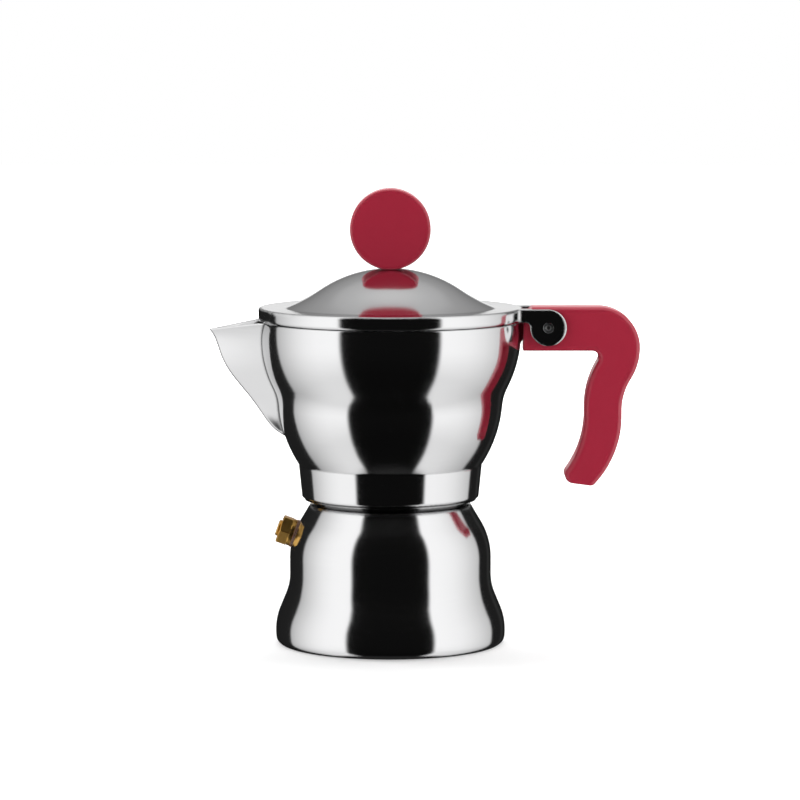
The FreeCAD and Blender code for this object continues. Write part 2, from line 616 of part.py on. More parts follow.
def make_boiler():
    """Lower vessel: cast shell, threaded neck, valve hole and a turned groove under the base."""
    body = new_body("boiler")
    outside = Outline(body, "boiler_outside").to("0", "0")
    boiler_side(outside, "0", "0", "base_edge")
    outside.to("shoulder_radius", "shoulder_level").to("neck_radius", "shoulder_level")
    outside.to("neck_radius", "neck_level").to("0", "neck_level")
    turned(body, "Revolution", "boiler_casting", outside.close())
    inside = Outline(body, "boiler_inside").to("0", "boiler_floor")
    boiler_side(inside, "boiler_wall", "boiler_floor", "floor_edge")
    inside.to("neck_bore", "shoulder_level").to("neck_bore", "neck_level + cut_over")
    inside.to("0", "neck_level + cut_over")
    turned(body, "Groove", "boiler_hollow", inside.close())
    groove_in = "base_groove_radius - base_groove_width / 2"
    groove_out = "base_groove_radius + base_groove_width / 2"
    turned(body, "Groove", "base_groove", polygon(body, "base_groove_section", (
        (groove_in, "-cut_over"), (groove_out, "-cut_over"),
        (groove_out, "base_groove_depth"), (groove_in, "base_groove_depth"))))
    seat = valve_placement()
    for name, radius, start, length in (
            ("valve_flat", "valve_seat_radius", 0.0, "valve_seat_radius"),
            ("valve_hole", "shank_radius + fit_gap", -size("shank_length"), "shank_length + cut_over")):
        sketch = circle(body, name + "_sketch", "0", "0", radius, "XY_Plane")
        sketch.AttachmentOffset = seat.multiply(FreeCAD.Placement(VECTOR(0, 0, start), FreeCAD.Rotation()))
        feature(body, "Pocket", name, sketch, Length=length, Reversed=True)
    helix(body, "AdditiveHelix", "neck_thread", (
        ("neck_radius - thread_gap", "thread_start - thread_root / 2"),
        ("neck_radius", "thread_start - thread_root / 2"),
        ("neck_radius + thread_height", "thread_start - thread_crest / 2"),
        ("neck_radius + thread_height", "thread_start + thread_crest / 2"),
        ("neck_radius", "thread_start + thread_root / 2"),
        ("neck_radius - thread_gap", "thread_start + thread_root / 2")), "thread_turns")
    return body


def valve_placement():
    """The flat that the valve seats on: just under the belly's surface, square to it."""
    tilt = math.radians(size("valve_tilt"))
    depth = size("belly_curve - valve_seat_depth")
    place = VECTOR(-size("waist_radius - belly_curve") - depth * math.cos(tilt), 0,
                   size("belly_level") + depth * math.sin(tilt))
    axis = VECTOR(-math.cos(tilt), 0, math.sin(tilt))
    return FreeCAD.Placement(place, FreeCAD.Rotation(VECTOR(0, 0, 1), axis))


def make_valve():
    """Safety valve: washer, body with its hexagon, ball, spring and cap, on the valve's own axis."""
    seat = valve_placement()
    hex_foot = "washer_thickness + flange_thickness"
    hex_end = hex_foot + " + hex_length"
    turned_piece("valve_washer", (
        ("shank_radius + fit_gap", "0"), ("washer_radius", "0"), ("washer_radius", "washer_thickness"),
        ("shank_radius + fit_gap", "washer_thickness")), seat)
    body = turned_piece("valve_body", (
        ("inlet_radius", "-shank_length"), ("shank_radius - hex_chamfer", "-shank_length"),
        ("shank_radius", "-shank_length + hex_chamfer"), ("shank_radius", "washer_thickness"),
        ("flange_radius", "washer_thickness"), ("flange_radius", hex_foot), ("chamber_radius", hex_foot),
        ("chamber_radius", "ball_seat_level"), ("inlet_radius", "ball_seat_level")), seat)
    hexagon = six_corners(body, "hexagon_sketch", "hex_width / sqrt(3)", hex_foot)
    feature(body, "Pad", "hexagon", hexagon, Length="hex_length")
    turned(body, "Groove", "hexagon_corners", polygon(body, "hexagon_chamfer", (
        ("hex_width / 2", hex_end), ("hex_width / 2 + 2 * hex_chamfer", hex_end + " - hex_chamfer"),
        ("hex_width / 2 + 2 * hex_chamfer", hex_end + " + cut_over"),
        ("hex_width / 2", hex_end + " + cut_over"))))
    chamber = circle(body, "chamber_sketch", "0", "0", "chamber_radius", "XY_Plane", hex_foot)
    through(body, "chamber", chamber, "4 * hex_length")
    ball = new_body("valve_ball", seat)
    hub = "ball_seat_level + sqrt(ball_radius ^ 2 - inlet_radius ^ 2) + ball_lift_gap"
    half = Outline(ball, "ball_outline").to("0", size(hub) - size("ball_radius"))
    half.to("0", size(hub) + size("ball_radius"), radius="ball_radius", turn=1, centre=("0", hub))
    turned(ball, "Revolution", "ball_turning", half.close())
    spring = new_body("valve_spring", seat)
    first = hub + " + sqrt(ball_radius ^ 2 - spring_radius ^ 2) + spring_wire"
    last = hex_end + " - cap_plug - spring_wire / 2 - ball_lift_gap"
    wire = circle(spring, "spring_wire_section", "spring_radius", first, "spring_wire / 2")
    pitch = "(%s - (%s)) / spring_turns" % (last, first)
    axis = (origin_feature(spring, "Z_Axis"), [""])
    feature(spring, "AdditiveHelix", "spring_coil", wire, ReferenceAxis=axis, Mode="pitch-height-angle",
            Pitch=pitch, Height=last + " - (%s)" % first)
    print("valve spring: gap between turns %.2f mm" % (size(pitch) - size("spring_wire")))
    cap_end = hex_end + " + cap_head"
    turned_piece("valve_cap", (
        ("vent_radius", hex_end + " - cap_plug"), ("chamber_radius - fit_gap", hex_end + " - cap_plug"),
        ("chamber_radius - fit_gap", hex_end), ("cap_radius", hex_end),
        ("cap_radius", cap_end + " - cap_edge"), ("cap_radius - cap_edge", cap_end),
        ("vent_radius", cap_end)), seat)


def make_funnel():
    """Coffee basket with a rim on the boiler's neck, its filter disc and the tube into the water."""
    outer, rim_top = "neck_bore - funnel_gap", "neck_level + funnel_wall"
    inner = "neck_bore - funnel_gap - funnel_wall"
    collar_in = "stem_radius + fit_gap"
    collar_out = "stem_radius + fit_gap + funnel_wall"
    turned_piece("funnel_cup", (
        (outer, "neck_level"), ("neck_radius - funnel_rim_gap", "neck_level"),
        ("neck_radius - funnel_rim_gap", rim_top), (inner, rim_top), (inner, "basket_floor"),
        (inner + " - ledge_width", "basket_floor"), (collar_in, "cone_level"), (collar_in, "collar_level"),
        (collar_out, "collar_level"), (collar_out, "cone_level - funnel_wall"),
        (inner + " - ledge_width + funnel_wall / 2", "basket_floor - funnel_wall"),
        (outer, "basket_floor - funnel_wall")))
    turned_piece("funnel_stem", (
        ("stem_radius - stem_wall", "stem_foot"), ("stem_radius", "stem_foot"), ("stem_radius", "cone_level"),
        ("stem_radius - stem_wall", "cone_level")))
    perforated_disc("lower_filter", "basket_floor", "lower_filter_thickness", inner + " - fit_gap",
                    inner + " - ledge_width")


def make_seal():
    """Rubber ring on the funnel's rim and the upper filter that lies on it."""
    foot = "neck_level + funnel_wall"
    top = foot + " + gasket_thickness"
    turned_piece("gasket", (("gasket_bore", foot), ("gasket_radius", foot), ("gasket_radius", top),
                            ("gasket_bore", top)))
    perforated_disc("filter_plate", top, "filter_thickness", "filter_radius", "gasket_bore")


def collector_side(outline, inset, start):
    """Lower bulge, hollow and upper bulge of the collector, from a start on the lower bulge."""
    lower = (size("lower_crest_radius - lower_crest_curve"), size("lower_crest_level"))
    upper = (size("upper_crest_radius - upper_crest_curve"), size("upper_crest_level"))
    lower_curve, upper_curve = size("lower_crest_curve - " + inset), size("upper_crest_curve - " + inset)
    hollow_curve = size("hollow_curve + " + inset)
    hub = circles_meet(lower, lower_curve + hollow_curve, upper, upper_curve + hollow_curve, -1)
    outline.to(*toward(lower, hub, lower_curve), smooth=True, radius="lower_crest_curve - " + inset, turn=1,
               centre=("lower_crest_radius - lower_crest_curve", "lower_crest_level"))
    outline.to(*toward(upper, hub, upper_curve), smooth=True, radius="hollow_curve + " + inset, turn=-1)
    top = size(start)
    across = upper[0] + math.sqrt(upper_curve ** 2 - (top - upper[1]) ** 2)
    outline.to(across, start, radius="upper_crest_curve - " + inset, turn=1,
               centre=("upper_crest_radius - upper_crest_curve", "upper_crest_level"))
    return outline


def lower_bulge_at(level, inset):
    """Radius of the lower bulge at a height."""
    curve = size("lower_crest_curve - " + inset)
    drop = size(level) - size("lower_crest_level")
    return size("lower_crest_radius - lower_crest_curve") + math.sqrt(curve ** 2 - drop ** 2)


SPOUT_SECTIONS = ("lip", "under_lip", "upper_keel", "middle_keel", "lower_keel", "keel_foot")


def spout_loft(body, kind, name, keel_wall, side_wall, lift):
    """The V-shaped spout: triangles from lip to foot, drawn in by the walls for the inside."""
    sketches = []
    for part in SPOUT_SECTIONS:
        reach = "%s_reach - (%s)" % (part, keel_wall)
        half = "%s_half - (%s)" % (part, side_wall)
        level = "%s_level + (%s)" % (part, lift if part == "lip" else "0")
        corners = (("-(%s)" % reach, "0"), ("-spout_root", "-(%s)" % half), ("-spout_root", half))
        sketches.append(polygon(body, "%s_%s" % (name, part), corners, "XY_Plane", level))
    loft = body.newObject("PartDesign::" + kind, name)
    loft.Profile = (sketches[0], [""])
    loft.Sections = [(sketch, [""]) for sketch in sketches[1:]]
    return loft


def boss_plan(body, name, rim, reach, half, hollow, level):
    """Plan of the hinge boss: a flat end face, with a hollow on each side that runs out on the rim."""
    hub_out = "(%s + %s)" % (half, hollow)
    hub_along = "sqrt((%s + %s) ^ 2 - %s ^ 2)" % (rim, hollow, hub_out)
    share = "%s / (%s + %s)" % (rim, rim, hollow)
    rim_along, rim_out = "%s * %s" % (hub_along, share), "%s * %s" % (hub_out, share)
    end_out = "(%s - sqrt(%s ^ 2 - (%s - %s) ^ 2))" % (hub_out, hollow, hub_along, reach)
    outline = Outline(body, name, "XY_Plane", level)
    outline.to("%s - boss_depth" % reach, "-" + rim_out).to(rim_along, "-" + rim_out)
    outline.to(reach, "-" + end_out, radius=hollow, turn=-1)
    outline.to(reach, end_out)
    outline.to(rim_along, rim_out, radius=hollow, turn=-1)
    outline.to("%s - boss_depth" % reach, rim_out)
    return outline.close()


def make_collector():
    """Upper vessel: wavy casting with V spout, hinge boss and tongue, column seat and threaded skirt."""
    body = new_body("collector")
    outside = Outline(body, "collector_outside").to("0", "skirt_level")
    outside.to("foot_ring_radius", "skirt_level").to("foot_ring_radius", "foot_ring_top")
    outside.to("skirt_radius - skirt_edge", "foot_ring_top")
    outside.to("skirt_radius", "foot_ring_top + skirt_edge", radius="skirt_edge", turn=1)
    outside.to("step_radius", "step_level")
    outside.to(lower_bulge_at("step_level + step_rise", "0"), "step_level + step_rise")
    collector_side(outside, "0", "rim_level")
    outside.to("0", "rim_level")
    turned(body, "Revolution", "collector_casting", outside.close())
    spout_loft(body, "AdditiveLoft", "spout", "0", "0", "0")
    lip_cut = polygon(body, "lip_cut_sketch", (
        ("-upper_crest_radius", "rim_level"), ("-tip_reach", "tip_level"),
        ("-tip_reach - cut_over", "tip_level - cut_over"), ("-lip_reach - cut_over", "rim_level + cut_over"),
        ("-upper_crest_radius", "rim_level + cut_over")))
    through(body, "lip_cut", lip_cut, "4 * lip_half")
    boss_top = boss_plan(body, "boss_top", "upper_crest_radius", "boss_reach", "boss_half", "boss_flare",
                         "rim_level")
    boss_middle = boss_plan(body, "boss_middle", "boss_drop_radius", "boss_reach", "boss_drop_half",
                            "boss_flare", "boss_drop_level")
    boss_low = boss_plan(body, "boss_low", "boss_foot_radius", "boss_foot_reach", "boss_foot_half",
                         "boss_flare", "boss_foot")
    boss = body.newObject("PartDesign::AdditiveLoft", "boss")
    boss.Profile = (boss_top, [""])
    boss.Sections = [(boss_middle, [""]), (boss_low, [""])]
    boss.Ruled = True
    tongue = Outline(body, "tongue_sketch").to("boss_reach - boss_depth", "pin_level - tongue_radius")
    tongue.to("pin_reach", size("pin_level - tongue_radius"))
    tongue.to("pin_reach", size("pin_level + tongue_radius"), radius="tongue_radius", turn=1,
              centre=("pin_reach", "pin_level"))
    tongue.to("tongue_top_reach", "pin_level + tongue_radius")
    tongue.to("tongue_step_reach", "pin_level + tongue_step")
    tongue.to("boss_reach - boss_depth", "pin_level + tongue_step")
    slab(body, "tongue", tongue.close(), "tongue_thickness")
    pin = circle(body, "tongue_pin_sketch", "pin_reach", "pin_level", "sleeve_radius + fit_gap")
    through(body, "tongue_pin_hole", pin, "4 * tongue_thickness")
    inside = Outline(body, "collector_inside").to("0", "collector_floor")
    lower = (size("lower_crest_radius - lower_crest_curve"), size("lower_crest_level"))
    curve, edge = size("lower_crest_curve - collector_wall"), size("collector_floor_edge")
    edge_level = size("collector_floor") + edge
    hub = (lower[0] + math.sqrt((curve - edge) ** 2 - (lower[1] - edge_level) ** 2), edge_level)
    inside.to(hub[0], "collector_floor", smooth=True)
    inside.to(*toward(lower, hub, curve), smooth=True, radius="collector_floor_edge", turn=1)
    collector_side(inside, "collector_wall", "rim_level + cut_over")
    inside.to("0", "rim_level + cut_over")
    turned(body, "Groove", "collector_hollow", inside.close())
    spout_loft(body, "SubtractiveLoft", "channel", "keel_wall", "spout_side_wall", "cut_over")
    seal_foot = "neck_level + funnel_wall"
    gasket_top = seal_foot + " + gasket_thickness"
    plate_top = gasket_top + " + filter_thickness + seal_gap"
    turned(body, "Groove", "skirt_hollow", polygon(body, "skirt_hollow_section", (
        ("0", "skirt_level - cut_over"), ("neck_radius + thread_gap", "skirt_level - cut_over"),
        ("neck_radius + thread_gap", seal_foot), ("gasket_radius + seal_gap", seal_foot),
        ("gasket_radius + seal_gap", gasket_top), ("filter_radius + seal_gap", gasket_top),
        ("filter_radius + seal_gap", plate_top), ("dish_radius", plate_top),
        ("column_spigot_radius", plate_top + " + dish_rise"), ("0", plate_top + " + dish_rise"))))
    spigot = circle(body, "spigot_sketch", "0", "0", "column_spigot_radius + fit_gap", "XY_Plane",
                    "collector_floor")
    through(body, "spigot_hole", spigot, "4 * dish_rise")
    wide = "thread_root / 2 + thread_gap"
    narrow = "thread_crest / 2 + thread_gap / 2"
    start = "thread_start - thread_pitch"
    helix(body, "SubtractiveHelix", "skirt_thread", (
        ("neck_radius", "%s - (%s)" % (start, wide)),
        ("neck_radius + thread_height + thread_gap", "%s - (%s)" % (start, narrow)),
        ("neck_radius + thread_height + thread_gap", "%s + %s" % (start, narrow)),
        ("neck_radius", "%s + %s" % (start, wide))), "thread_turns + thread_runout")
    return body


def make_column():
    """Column on the collector's floor and the outlet cap on its top."""
    plate_top = "neck_level + funnel_wall + gasket_thickness + filter_thickness + seal_gap"
    turned_piece("riser_column", (
        ("column_bore", plate_top + " + dish_rise"), ("column_spigot_radius", plate_top + " + dish_rise"),
        ("column_spigot_radius", "collector_floor"), ("column_foot_radius", "collector_floor"),
        ("column_top_radius", "column_top"), ("column_bore", "column_top")))
    cap_top = "column_top + column_cap_height"
    plug = "column_bore - fit_gap"
    body = turned_piece("column_cap", (
        ("column_cap_bore", "column_top - column_cap_plug"), (plug, "column_top - column_cap_plug"),
        (plug, "column_top"), ("column_cap_radius", "column_top"),
        ("column_cap_radius", cap_top + " - column_cap_bore"), ("column_cap_bore", cap_top), ("0", cap_top),
        ("0", cap_top + " - column_cap_bore"), ("column_cap_bore", cap_top + " - column_cap_bore")))
    outlet = circle(body, "outlet_sketch", "0", "column_top + column_cap_height / 2", "outlet_radius",
                    "YZ_Plane")
    through(body, "outlet", outlet, "4 * column_cap_radius")


def make_hinge_pin():
    """Sleeve nut and socket screw on the hinge axis, both flush inside the ears."""
    half = "handle_thickness / 2 + ear_gap + ear_thickness - pin_recess"
    across = FreeCAD.Placement(VECTOR(size("pin_reach"), 0, size("pin_level")),
                               FreeCAD.Rotation(VECTOR(0, 0, 1), VECTOR(0, -1, 0)))
    head = half + " - screw_head"
    bore_end = head + " - screw_length"
    turned_piece("hinge_sleeve", (
        ("screw_radius + fit_gap", head), ("sleeve_radius", head), ("sleeve_radius", "-(%s)" % half),
        ("0", "-(%s)" % half), ("0", bore_end + " - fit_gap"),
        ("screw_radius + fit_gap", bore_end + " - fit_gap")), across)
    body = turned_piece("hinge_screw", (
        ("0", bore_end), ("screw_radius", bore_end), ("screw_radius", head), ("sleeve_radius", head),
        ("sleeve_radius", half), ("0", half)), across)
    socket = six_corners(body, "socket_sketch", "socket_radius", half)
    through(body, "socket", socket, "2 * socket_depth")


def make_lid():
    """Lid: bell-shaped dome, flat ring, rim and two hinge ears."""
    body = new_body("lid")
    dome = (0.0, size("dome_top - dome_curve"))

    def bell(outline, inset, crease_level):
        """Hollow foot of the dome up to its round top, from the crease inwards."""
        curve, sweep = size("dome_curve - " + inset), size("dome_sweep + " + inset)
        hub = circles_meet(dome, curve + sweep, (size("dome_radius"), size(crease_level)), sweep, 1)
        outline.to("dome_radius", crease_level)
        outline.to(*toward(dome, hub, curve), smooth=True, radius="dome_sweep + " + inset, turn=-1)
        return curve

    outside = Outline(body, "lid_outside").to("0", "lid_foot").to("lid_radius", "lid_foot")
    outside.to("lid_radius", "lid_top - lid_edge")
    outside.to("lid_radius - lid_edge", "lid_top", radius="lid_edge", turn=1)
    bell(outside, "0", "lid_top")
    outside.to("0", size("dome_top"), radius="dome_curve", turn=1, centre=("0", "dome_top - dome_curve"))
    turned(body, "Revolution", "lid_casting", outside.close())
    inner_face = "handle_thickness / 2 + ear_gap"
    pin = (size("pin_reach"), size("pin_level"))
    hollow_level = size("lid_foot - ear_hollow")
    reach = size("ear_radius + ear_hollow")
    hollow = (pin[0] - math.sqrt(reach ** 2 - (hollow_level - pin[1]) ** 2), hollow_level)
    for name, level in (("near_ear", inner_face), ("far_ear", "-(%s + ear_thickness)" % inner_face)):
        ear = Outline(body, name + "_sketch", "XZ_Plane", level).to("ear_root", "lid_top")
        ear.to("ear_root", "lid_foot").to(hollow[0], "lid_foot", smooth=True)
        ear.to(*toward(pin, hollow, size("ear_radius")), smooth=True, radius="ear_hollow", turn=-1)
        ear.to("pin_reach", size("pin_level + ear_radius"), radius="ear_radius", turn=1,
               centre=("pin_reach", "pin_level"))
        feature(body, "Pad", name, ear.close(), Length="ear_thickness")
    inside = Outline(body, "lid_inside").to("0", "lid_foot - cut_over")
    inside.to("lid_radius - lid_band", "lid_foot - cut_over")
    inside.to("lid_radius - lid_band", "lid_top - lid_wall")
    curve = bell(inside, "lid_wall", "lid_top - lid_wall")
    inside.to("pad_radius", dome[1] + math.sqrt(curve ** 2 - size("pad_radius") ** 2),
              radius="dome_curve - lid_wall", turn=1, centre=("0", "dome_top - dome_curve"))
    inside.to("pad_radius", "dome_top - pad_thickness").to("0", "dome_top - pad_thickness")
    turned(body, "Groove", "lid_hollow", inside.close())
    pin_hole = circle(body, "ear_pin_sketch", "pin_reach", "pin_level", "sleeve_radius + pin_gap")
    through(body, "ear_pin_hole", pin_hole, "4 * handle_thickness")
    screw = circle(body, "lid_screw_sketch", "0", "0", "knob_screw_radius + knob_hole_gap", "XY_Plane",
                   "dome_top")
    through(body, "lid_screw_hole", screw, "4 * pad_thickness")
    return body


def make_knob():
    """Knob on the dome, its threaded insert, and the screw and washer that hold it from inside."""
    body = new_body("lid_knob")
    disc = circle(body, "knob_disc", "0", "knob_centre", "knob_radius")
    pad = slab(body, "knob_casting", disc, "knob_thickness")
    rounded(body, "knob_edges", pad, lambda edge: edge.Curve.TypeId == "Part::GeomCircle", "knob_edge")
    foot = Outline(body, "knob_foot_section").to("0", "lid_top").to("knob_radius", "lid_top")
    seat = size("dome_curve + knob_gap")
    centre = size("dome_top - dome_curve")
    foot.to("knob_radius", centre + math.sqrt(seat ** 2 - size("knob_radius") ** 2))
    foot.to("0", centre + seat, radius="dome_curve + knob_gap", turn=1, centre=("0", "dome_top - dome_curve"))
    turned(body, "Groove", "knob_foot", foot.close())
    insert_foot = "dome_top + insert_inset"
    insert_top = insert_foot + " + insert_length"
    turned(body, "Groove", "insert_hole", polygon(body, "insert_hole_section", (
        ("0", "lid_top"), ("insert_radius + fit_gap", "lid_top"),
        ("insert_radius + fit_gap", insert_top + " + fit_gap"), ("0", insert_top + " + fit_gap"))))
    turned_piece("knob_insert", (
        ("knob_screw_radius + fit_gap", insert_foot), ("insert_radius", insert_foot),
        ("insert_radius", insert_top), ("knob_screw_radius + fit_gap", insert_top)))
    washer_top = "dome_top - pad_thickness"
    head_top = washer_top + " - knob_washer_thickness"
    head_foot = head_top + " - knob_screw_head"
    turned_piece("knob_washer", (
        ("knob_screw_radius + knob_hole_gap", head_top), ("knob_washer_radius", head_top),
        ("knob_washer_radius", washer_top), ("knob_screw_radius + knob_hole_gap", washer_top)))
    screw = turned_piece("knob_screw", (
        ("0", head_foot), ("knob_screw_head_radius", head_foot), ("knob_screw_head_radius", head_top),
        ("knob_screw_radius", head_top), ("knob_screw_radius", "dome_top + knob_screw_length"),
        ("0", "dome_top + knob_screw_length")))
    slot_half = "knob_screw_slot / 2"
    slot_top = head_foot + " + knob_screw_slot_depth"
    slot = polygon(screw, "knob_screw_slot", (
        ("-" + slot_half, head_foot + " - cut_over"), (slot_half, head_foot + " - cut_over"),
        (slot_half, slot_top), ("-" + slot_half, slot_top)))
    through(screw, "knob_screw_slot_cut", slot, "4 * knob_screw_head_radius")


def make_handle():
    """Handle: arm over the hinge and a wavy grip, with a slot for the tongue and the hinge hole."""
    body = new_body("handle")
    pin = (size("pin_reach"), size("pin_level"))
    turn, top, face = size("handle_turn"), size("handle_top"), size("boss_reach + handle_face_gap")
    corner = (size("handle_reach - handle_corner"), size("handle_top - handle_corner"))
    swell = (size("handle_reach - grip_curve"), corner[1])
    depth, fall = size("handle_reach - grip_back"), corner[1] - size("grip_back_level")
    hollow_curve = (depth ** 2 + fall ** 2) / (2 * depth) - size("grip_curve")
    hollow = (size("grip_back") + hollow_curve, size("grip_back_level"))
    tail = (size("grip_back - grip_tail_curve"), size("grip_tail_level"))
    edge_reach = size("grip_tail_curve - tail_edge")
    edge = (tail[0] + math.sqrt(edge_reach ** 2 - (size("tail_level") - tail[1]) ** 2), size("tail_level"))
    tip = (size("tail_tip_reach"), size("tail_tip_level"))
    tip_round = size("tail_tip_round")
    bottom = math.degrees(math.atan2(tip[1] - edge[1], tip[0] - edge[0])
                          - math.asin((size("tail_edge") - tip_round) / math.dist(edge, tip)))
    inward, rise = size("grip_front") - tip[0], size("grip_inner_level") - tip[1]
    inner_curve = (inward ** 2 + rise ** 2 - tip_round ** 2) / (2 * (inward + tip_round))
    inner = (size("grip_front") - inner_curve, size("grip_inner_level"))
    front = (size("grip_front + grip_front_curve"), size("grip_front_level"))
    nook_reach = size("grip_front_curve + handle_inner_corner")
    nook_level = size("handle_under - handle_inner_corner")
    nook = (front[0] - math.sqrt(nook_reach ** 2 - (nook_level - front[1]) ** 2), nook_level)
    side = Outline(body, "handle_sketch").to("boss_reach + handle_face_gap", "handle_under")
    side.to("boss_reach + handle_face_gap", pin[1] + math.sqrt(turn ** 2 - (face - pin[0]) ** 2))
    side.to(pin[0] - math.sqrt(turn ** 2 - (top - pin[1]) ** 2), "handle_top", radius="handle_turn", turn=-1,
            centre=("pin_reach", "pin_level"))
    side.to(corner[0], top, smooth=True)
    side.to(size("handle_reach"), corner[1], smooth=True, radius="handle_corner", turn=-1,
            centre=("handle_reach - handle_corner", "handle_top - handle_corner"))
    side.to(*toward(swell, hollow, size("grip_curve")), smooth=True, radius="grip_curve", turn=-1,
            centre=(None, "handle_top - handle_corner"))
    side.to("grip_back", hollow[1], smooth=True, radius=hollow_curve, turn=1,
            centre=(None, "grip_back_level"))
    side.to(size("grip_back"), tail[1], smooth=True)
    side.to(*toward(tail, edge, size("grip_tail_curve")), smooth=True, radius="grip_tail_curve", turn=-1,
            centre=("grip_back - grip_tail_curve", "grip_tail_level"))
    side.to(*polar(edge, size("tail_edge"), bottom + 90), smooth=True, radius="tail_edge", turn=-1,
            centre=(None, "tail_level"))
    side.to(*polar(tip, tip_round, bottom + 90), smooth=True)
    side.to(*toward(tip, inner, tip_round), smooth=True, radius="tail_tip_round", turn=-1,
            centre=("tail_tip_reach", "tail_tip_level"))
    side.to("grip_front", inner[1], smooth=True, radius=inner_curve, turn=1,
            centre=(None, "grip_inner_level"))
    side.to(size("grip_front"), front[1], smooth=True)
    side.to(*toward(front, nook, size("grip_front_curve")), smooth=True, radius="grip_front_curve", turn=-1,
            centre=("grip_front + grip_front_curve", "grip_front_level"))
    side.to(nook[0], size("handle_under"), smooth=True, radius="handle_inner_corner", turn=1)
    grip = slab(body, "handle_moulding", side.close(), "handle_thickness")
    half = size("handle_thickness / 2")
    rounded(body, "handle_edges", grip, lambda edge: edge.BoundBox.XMax > pin[0]
            and edge.BoundBox.YLength < half, "handle_edge")
    half_slot = "(tongue_radius + tongue_gap)"
    slot = Outline(body, "tongue_slot_sketch").to("boss_reach - cut_over", "pin_level - " + half_slot)
    slot.to("pin_reach", size("pin_level - " + half_slot))
    slot.to("pin_reach", size("pin_level + " + half_slot), radius=half_slot, turn=1,
            centre=("pin_reach", "pin_level"))
    slot.to("boss_reach - cut_over", "pin_level + " + half_slot)
    through(body, "tongue_slot", slot.close(), "tongue_thickness + 2 * tongue_gap")
    pin_hole = circle(body, "handle_pin_sketch", "pin_reach", "pin_level", "sleeve_radius + fit_gap")
    through(body, "handle_pin_hole", pin_hole, "2 * handle_thickness")
    return body


def write_pieces():
    """Check every object and write each piece as a STEP file."""
    doc.recompute()
    faulty = [item.Label for item in doc.Objects if "Invalid" in item.State or "Error" in item.State]
    pieces = [item for item in doc.Objects if item.TypeId == "PartDesign::Body"]
    for piece in pieces:
        if piece.Shape.isNull() or not piece.Shape.isValid() or len(piece.Shape.Solids) != 1:
            faulty.append(piece.Label)
    if faulty:
        raise RuntimeError("faulty objects: " + ", ".join(faulty))
    os.makedirs("parts", exist_ok=True)
    for piece in pieces:
        piece.Shape.exportStep("parts/%s.step" % piece.Label)
        box = piece.Shape.BoundBox
        print("%-15s %9.1f mm3  x %7.2f %7.2f  y %7.2f %7.2f  z %7.2f %7.2f" % (
            piece.Label, piece.Shape.Volume, box.XMin, box.XMax, box.YMin, box.YMax, box.ZMin, box.ZMax))


make_boiler()
make_valve()
make_funnel()
make_seal()
make_collector()
make_column()
make_handle()
make_hinge_pin()
make_lid()
make_knob()
write_pieces()
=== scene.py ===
"""Finish and stage of a one-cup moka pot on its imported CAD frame.

Metres, in the frame of the solids: the origin is the centre of the boiler's base, +Z is up, the spout
points to -X and the handle to +X.
"""
import math

import bpy
import numpy as np
from bpy.props import FloatProperty, FloatVectorProperty, PointerProperty
from bpy.types import Operator, Panel, PropertyGroup
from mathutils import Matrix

bl_info = {
    "name": "Moka pot",
    "version": (1, 0, 0),
    "blender": (4, 5, 0),
    "location": "View3D > Sidebar > Moka",
    "description": "Finish and stage of a polished aluminium moka pot",
    "category": "Object",
}

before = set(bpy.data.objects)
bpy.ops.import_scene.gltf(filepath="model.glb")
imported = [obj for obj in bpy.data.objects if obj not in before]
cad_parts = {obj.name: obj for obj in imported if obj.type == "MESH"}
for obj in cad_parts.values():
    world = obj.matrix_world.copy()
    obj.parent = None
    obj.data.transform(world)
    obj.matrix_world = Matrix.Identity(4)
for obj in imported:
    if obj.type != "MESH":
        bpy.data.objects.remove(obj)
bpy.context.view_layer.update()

# Grey levels that the reflection tent shows: walls by degrees round from the camera's side, their share by
# tilt over the horizon, roof by tilt, its share by degrees from its middle, and the ground with its share
# by tilt.
TENT_WALLS = ((-180, 0.01), (-119.5, 0.015), (-116.5, 0.5), (-105, 0.64), (-90, 0.82), (-80, 0.91),
              (-68, 0.98), (-46, 1.0), (-43, 0.004), (43, 0.004), (46, 1.0), (60, 0.98), (75, 0.93),
              (90, 0.83), (105, 0.69), (120, 0.55), (123, 0.012), (143, 0.012), (150, 0.03), (157, 0.012),
              (180, 0.01))
TENT_WALLS_SHARE = ((-90, 0.7), (-60, 0.79), (-34, 0.77), (-12, 1.0), (90, 1.0))
TENT_ROOF = ((-90, 0.16), (12, 0.16), (18, 0.2), (24, 0.24), (33, 0.295), (39, 0.33), (46, 0.41),
             (58, 0.47), (70, 0.55), (90, 0.58))
TENT_ROOF_SHARE = ((0, 1.0), (41, 1.0), (45, 0.0), (180, 0.0))
TENT_GROUND = 0.02
TENT_GROUND_SHARE = ((-90, 1.0), (-68, 1.0), (-60, 0.0), (90, 0.0))
TENT_COLUMNS = 97
TENT_ROWS = 49

# Cards that hang inside the tent: name, degrees round, columns of the grid, tilts and grey level. They
# hang at a share of the tent's radius.
CARDS = (("back card", (171, 189), 7, (0, 10.5), 0.7),
         ("ceiling card", (-180, 180), 49, (78, 90), 0.85),
         ("front ceiling card", (-70, 70), 31, (67, 78), 0.85))
CARD_ROWS = 5
CARD_DEPTH = 0.96

# Square lamps: name, place, width and the setting that holds the power. All point at the pot's middle.
LAMPS = (("left front lamp", (-0.7, -1.4, 0.55), 1.0, "front_power"),
         ("right front lamp", (0.7, -1.4, 0.55), 1.0, "front_power"),
         ("top lamp", (0.0, 0.7, 1.4), 1.4, "top_power"),
         ("left rim lamp", (-1.2, 0.5, 0.8), 0.8, "rim_power"),
         ("right rim lamp", (1.2, 0.5, 0.8), 0.8, "rim_power"))
LAMP_AIM = (0.0, 0.0, 0.08)

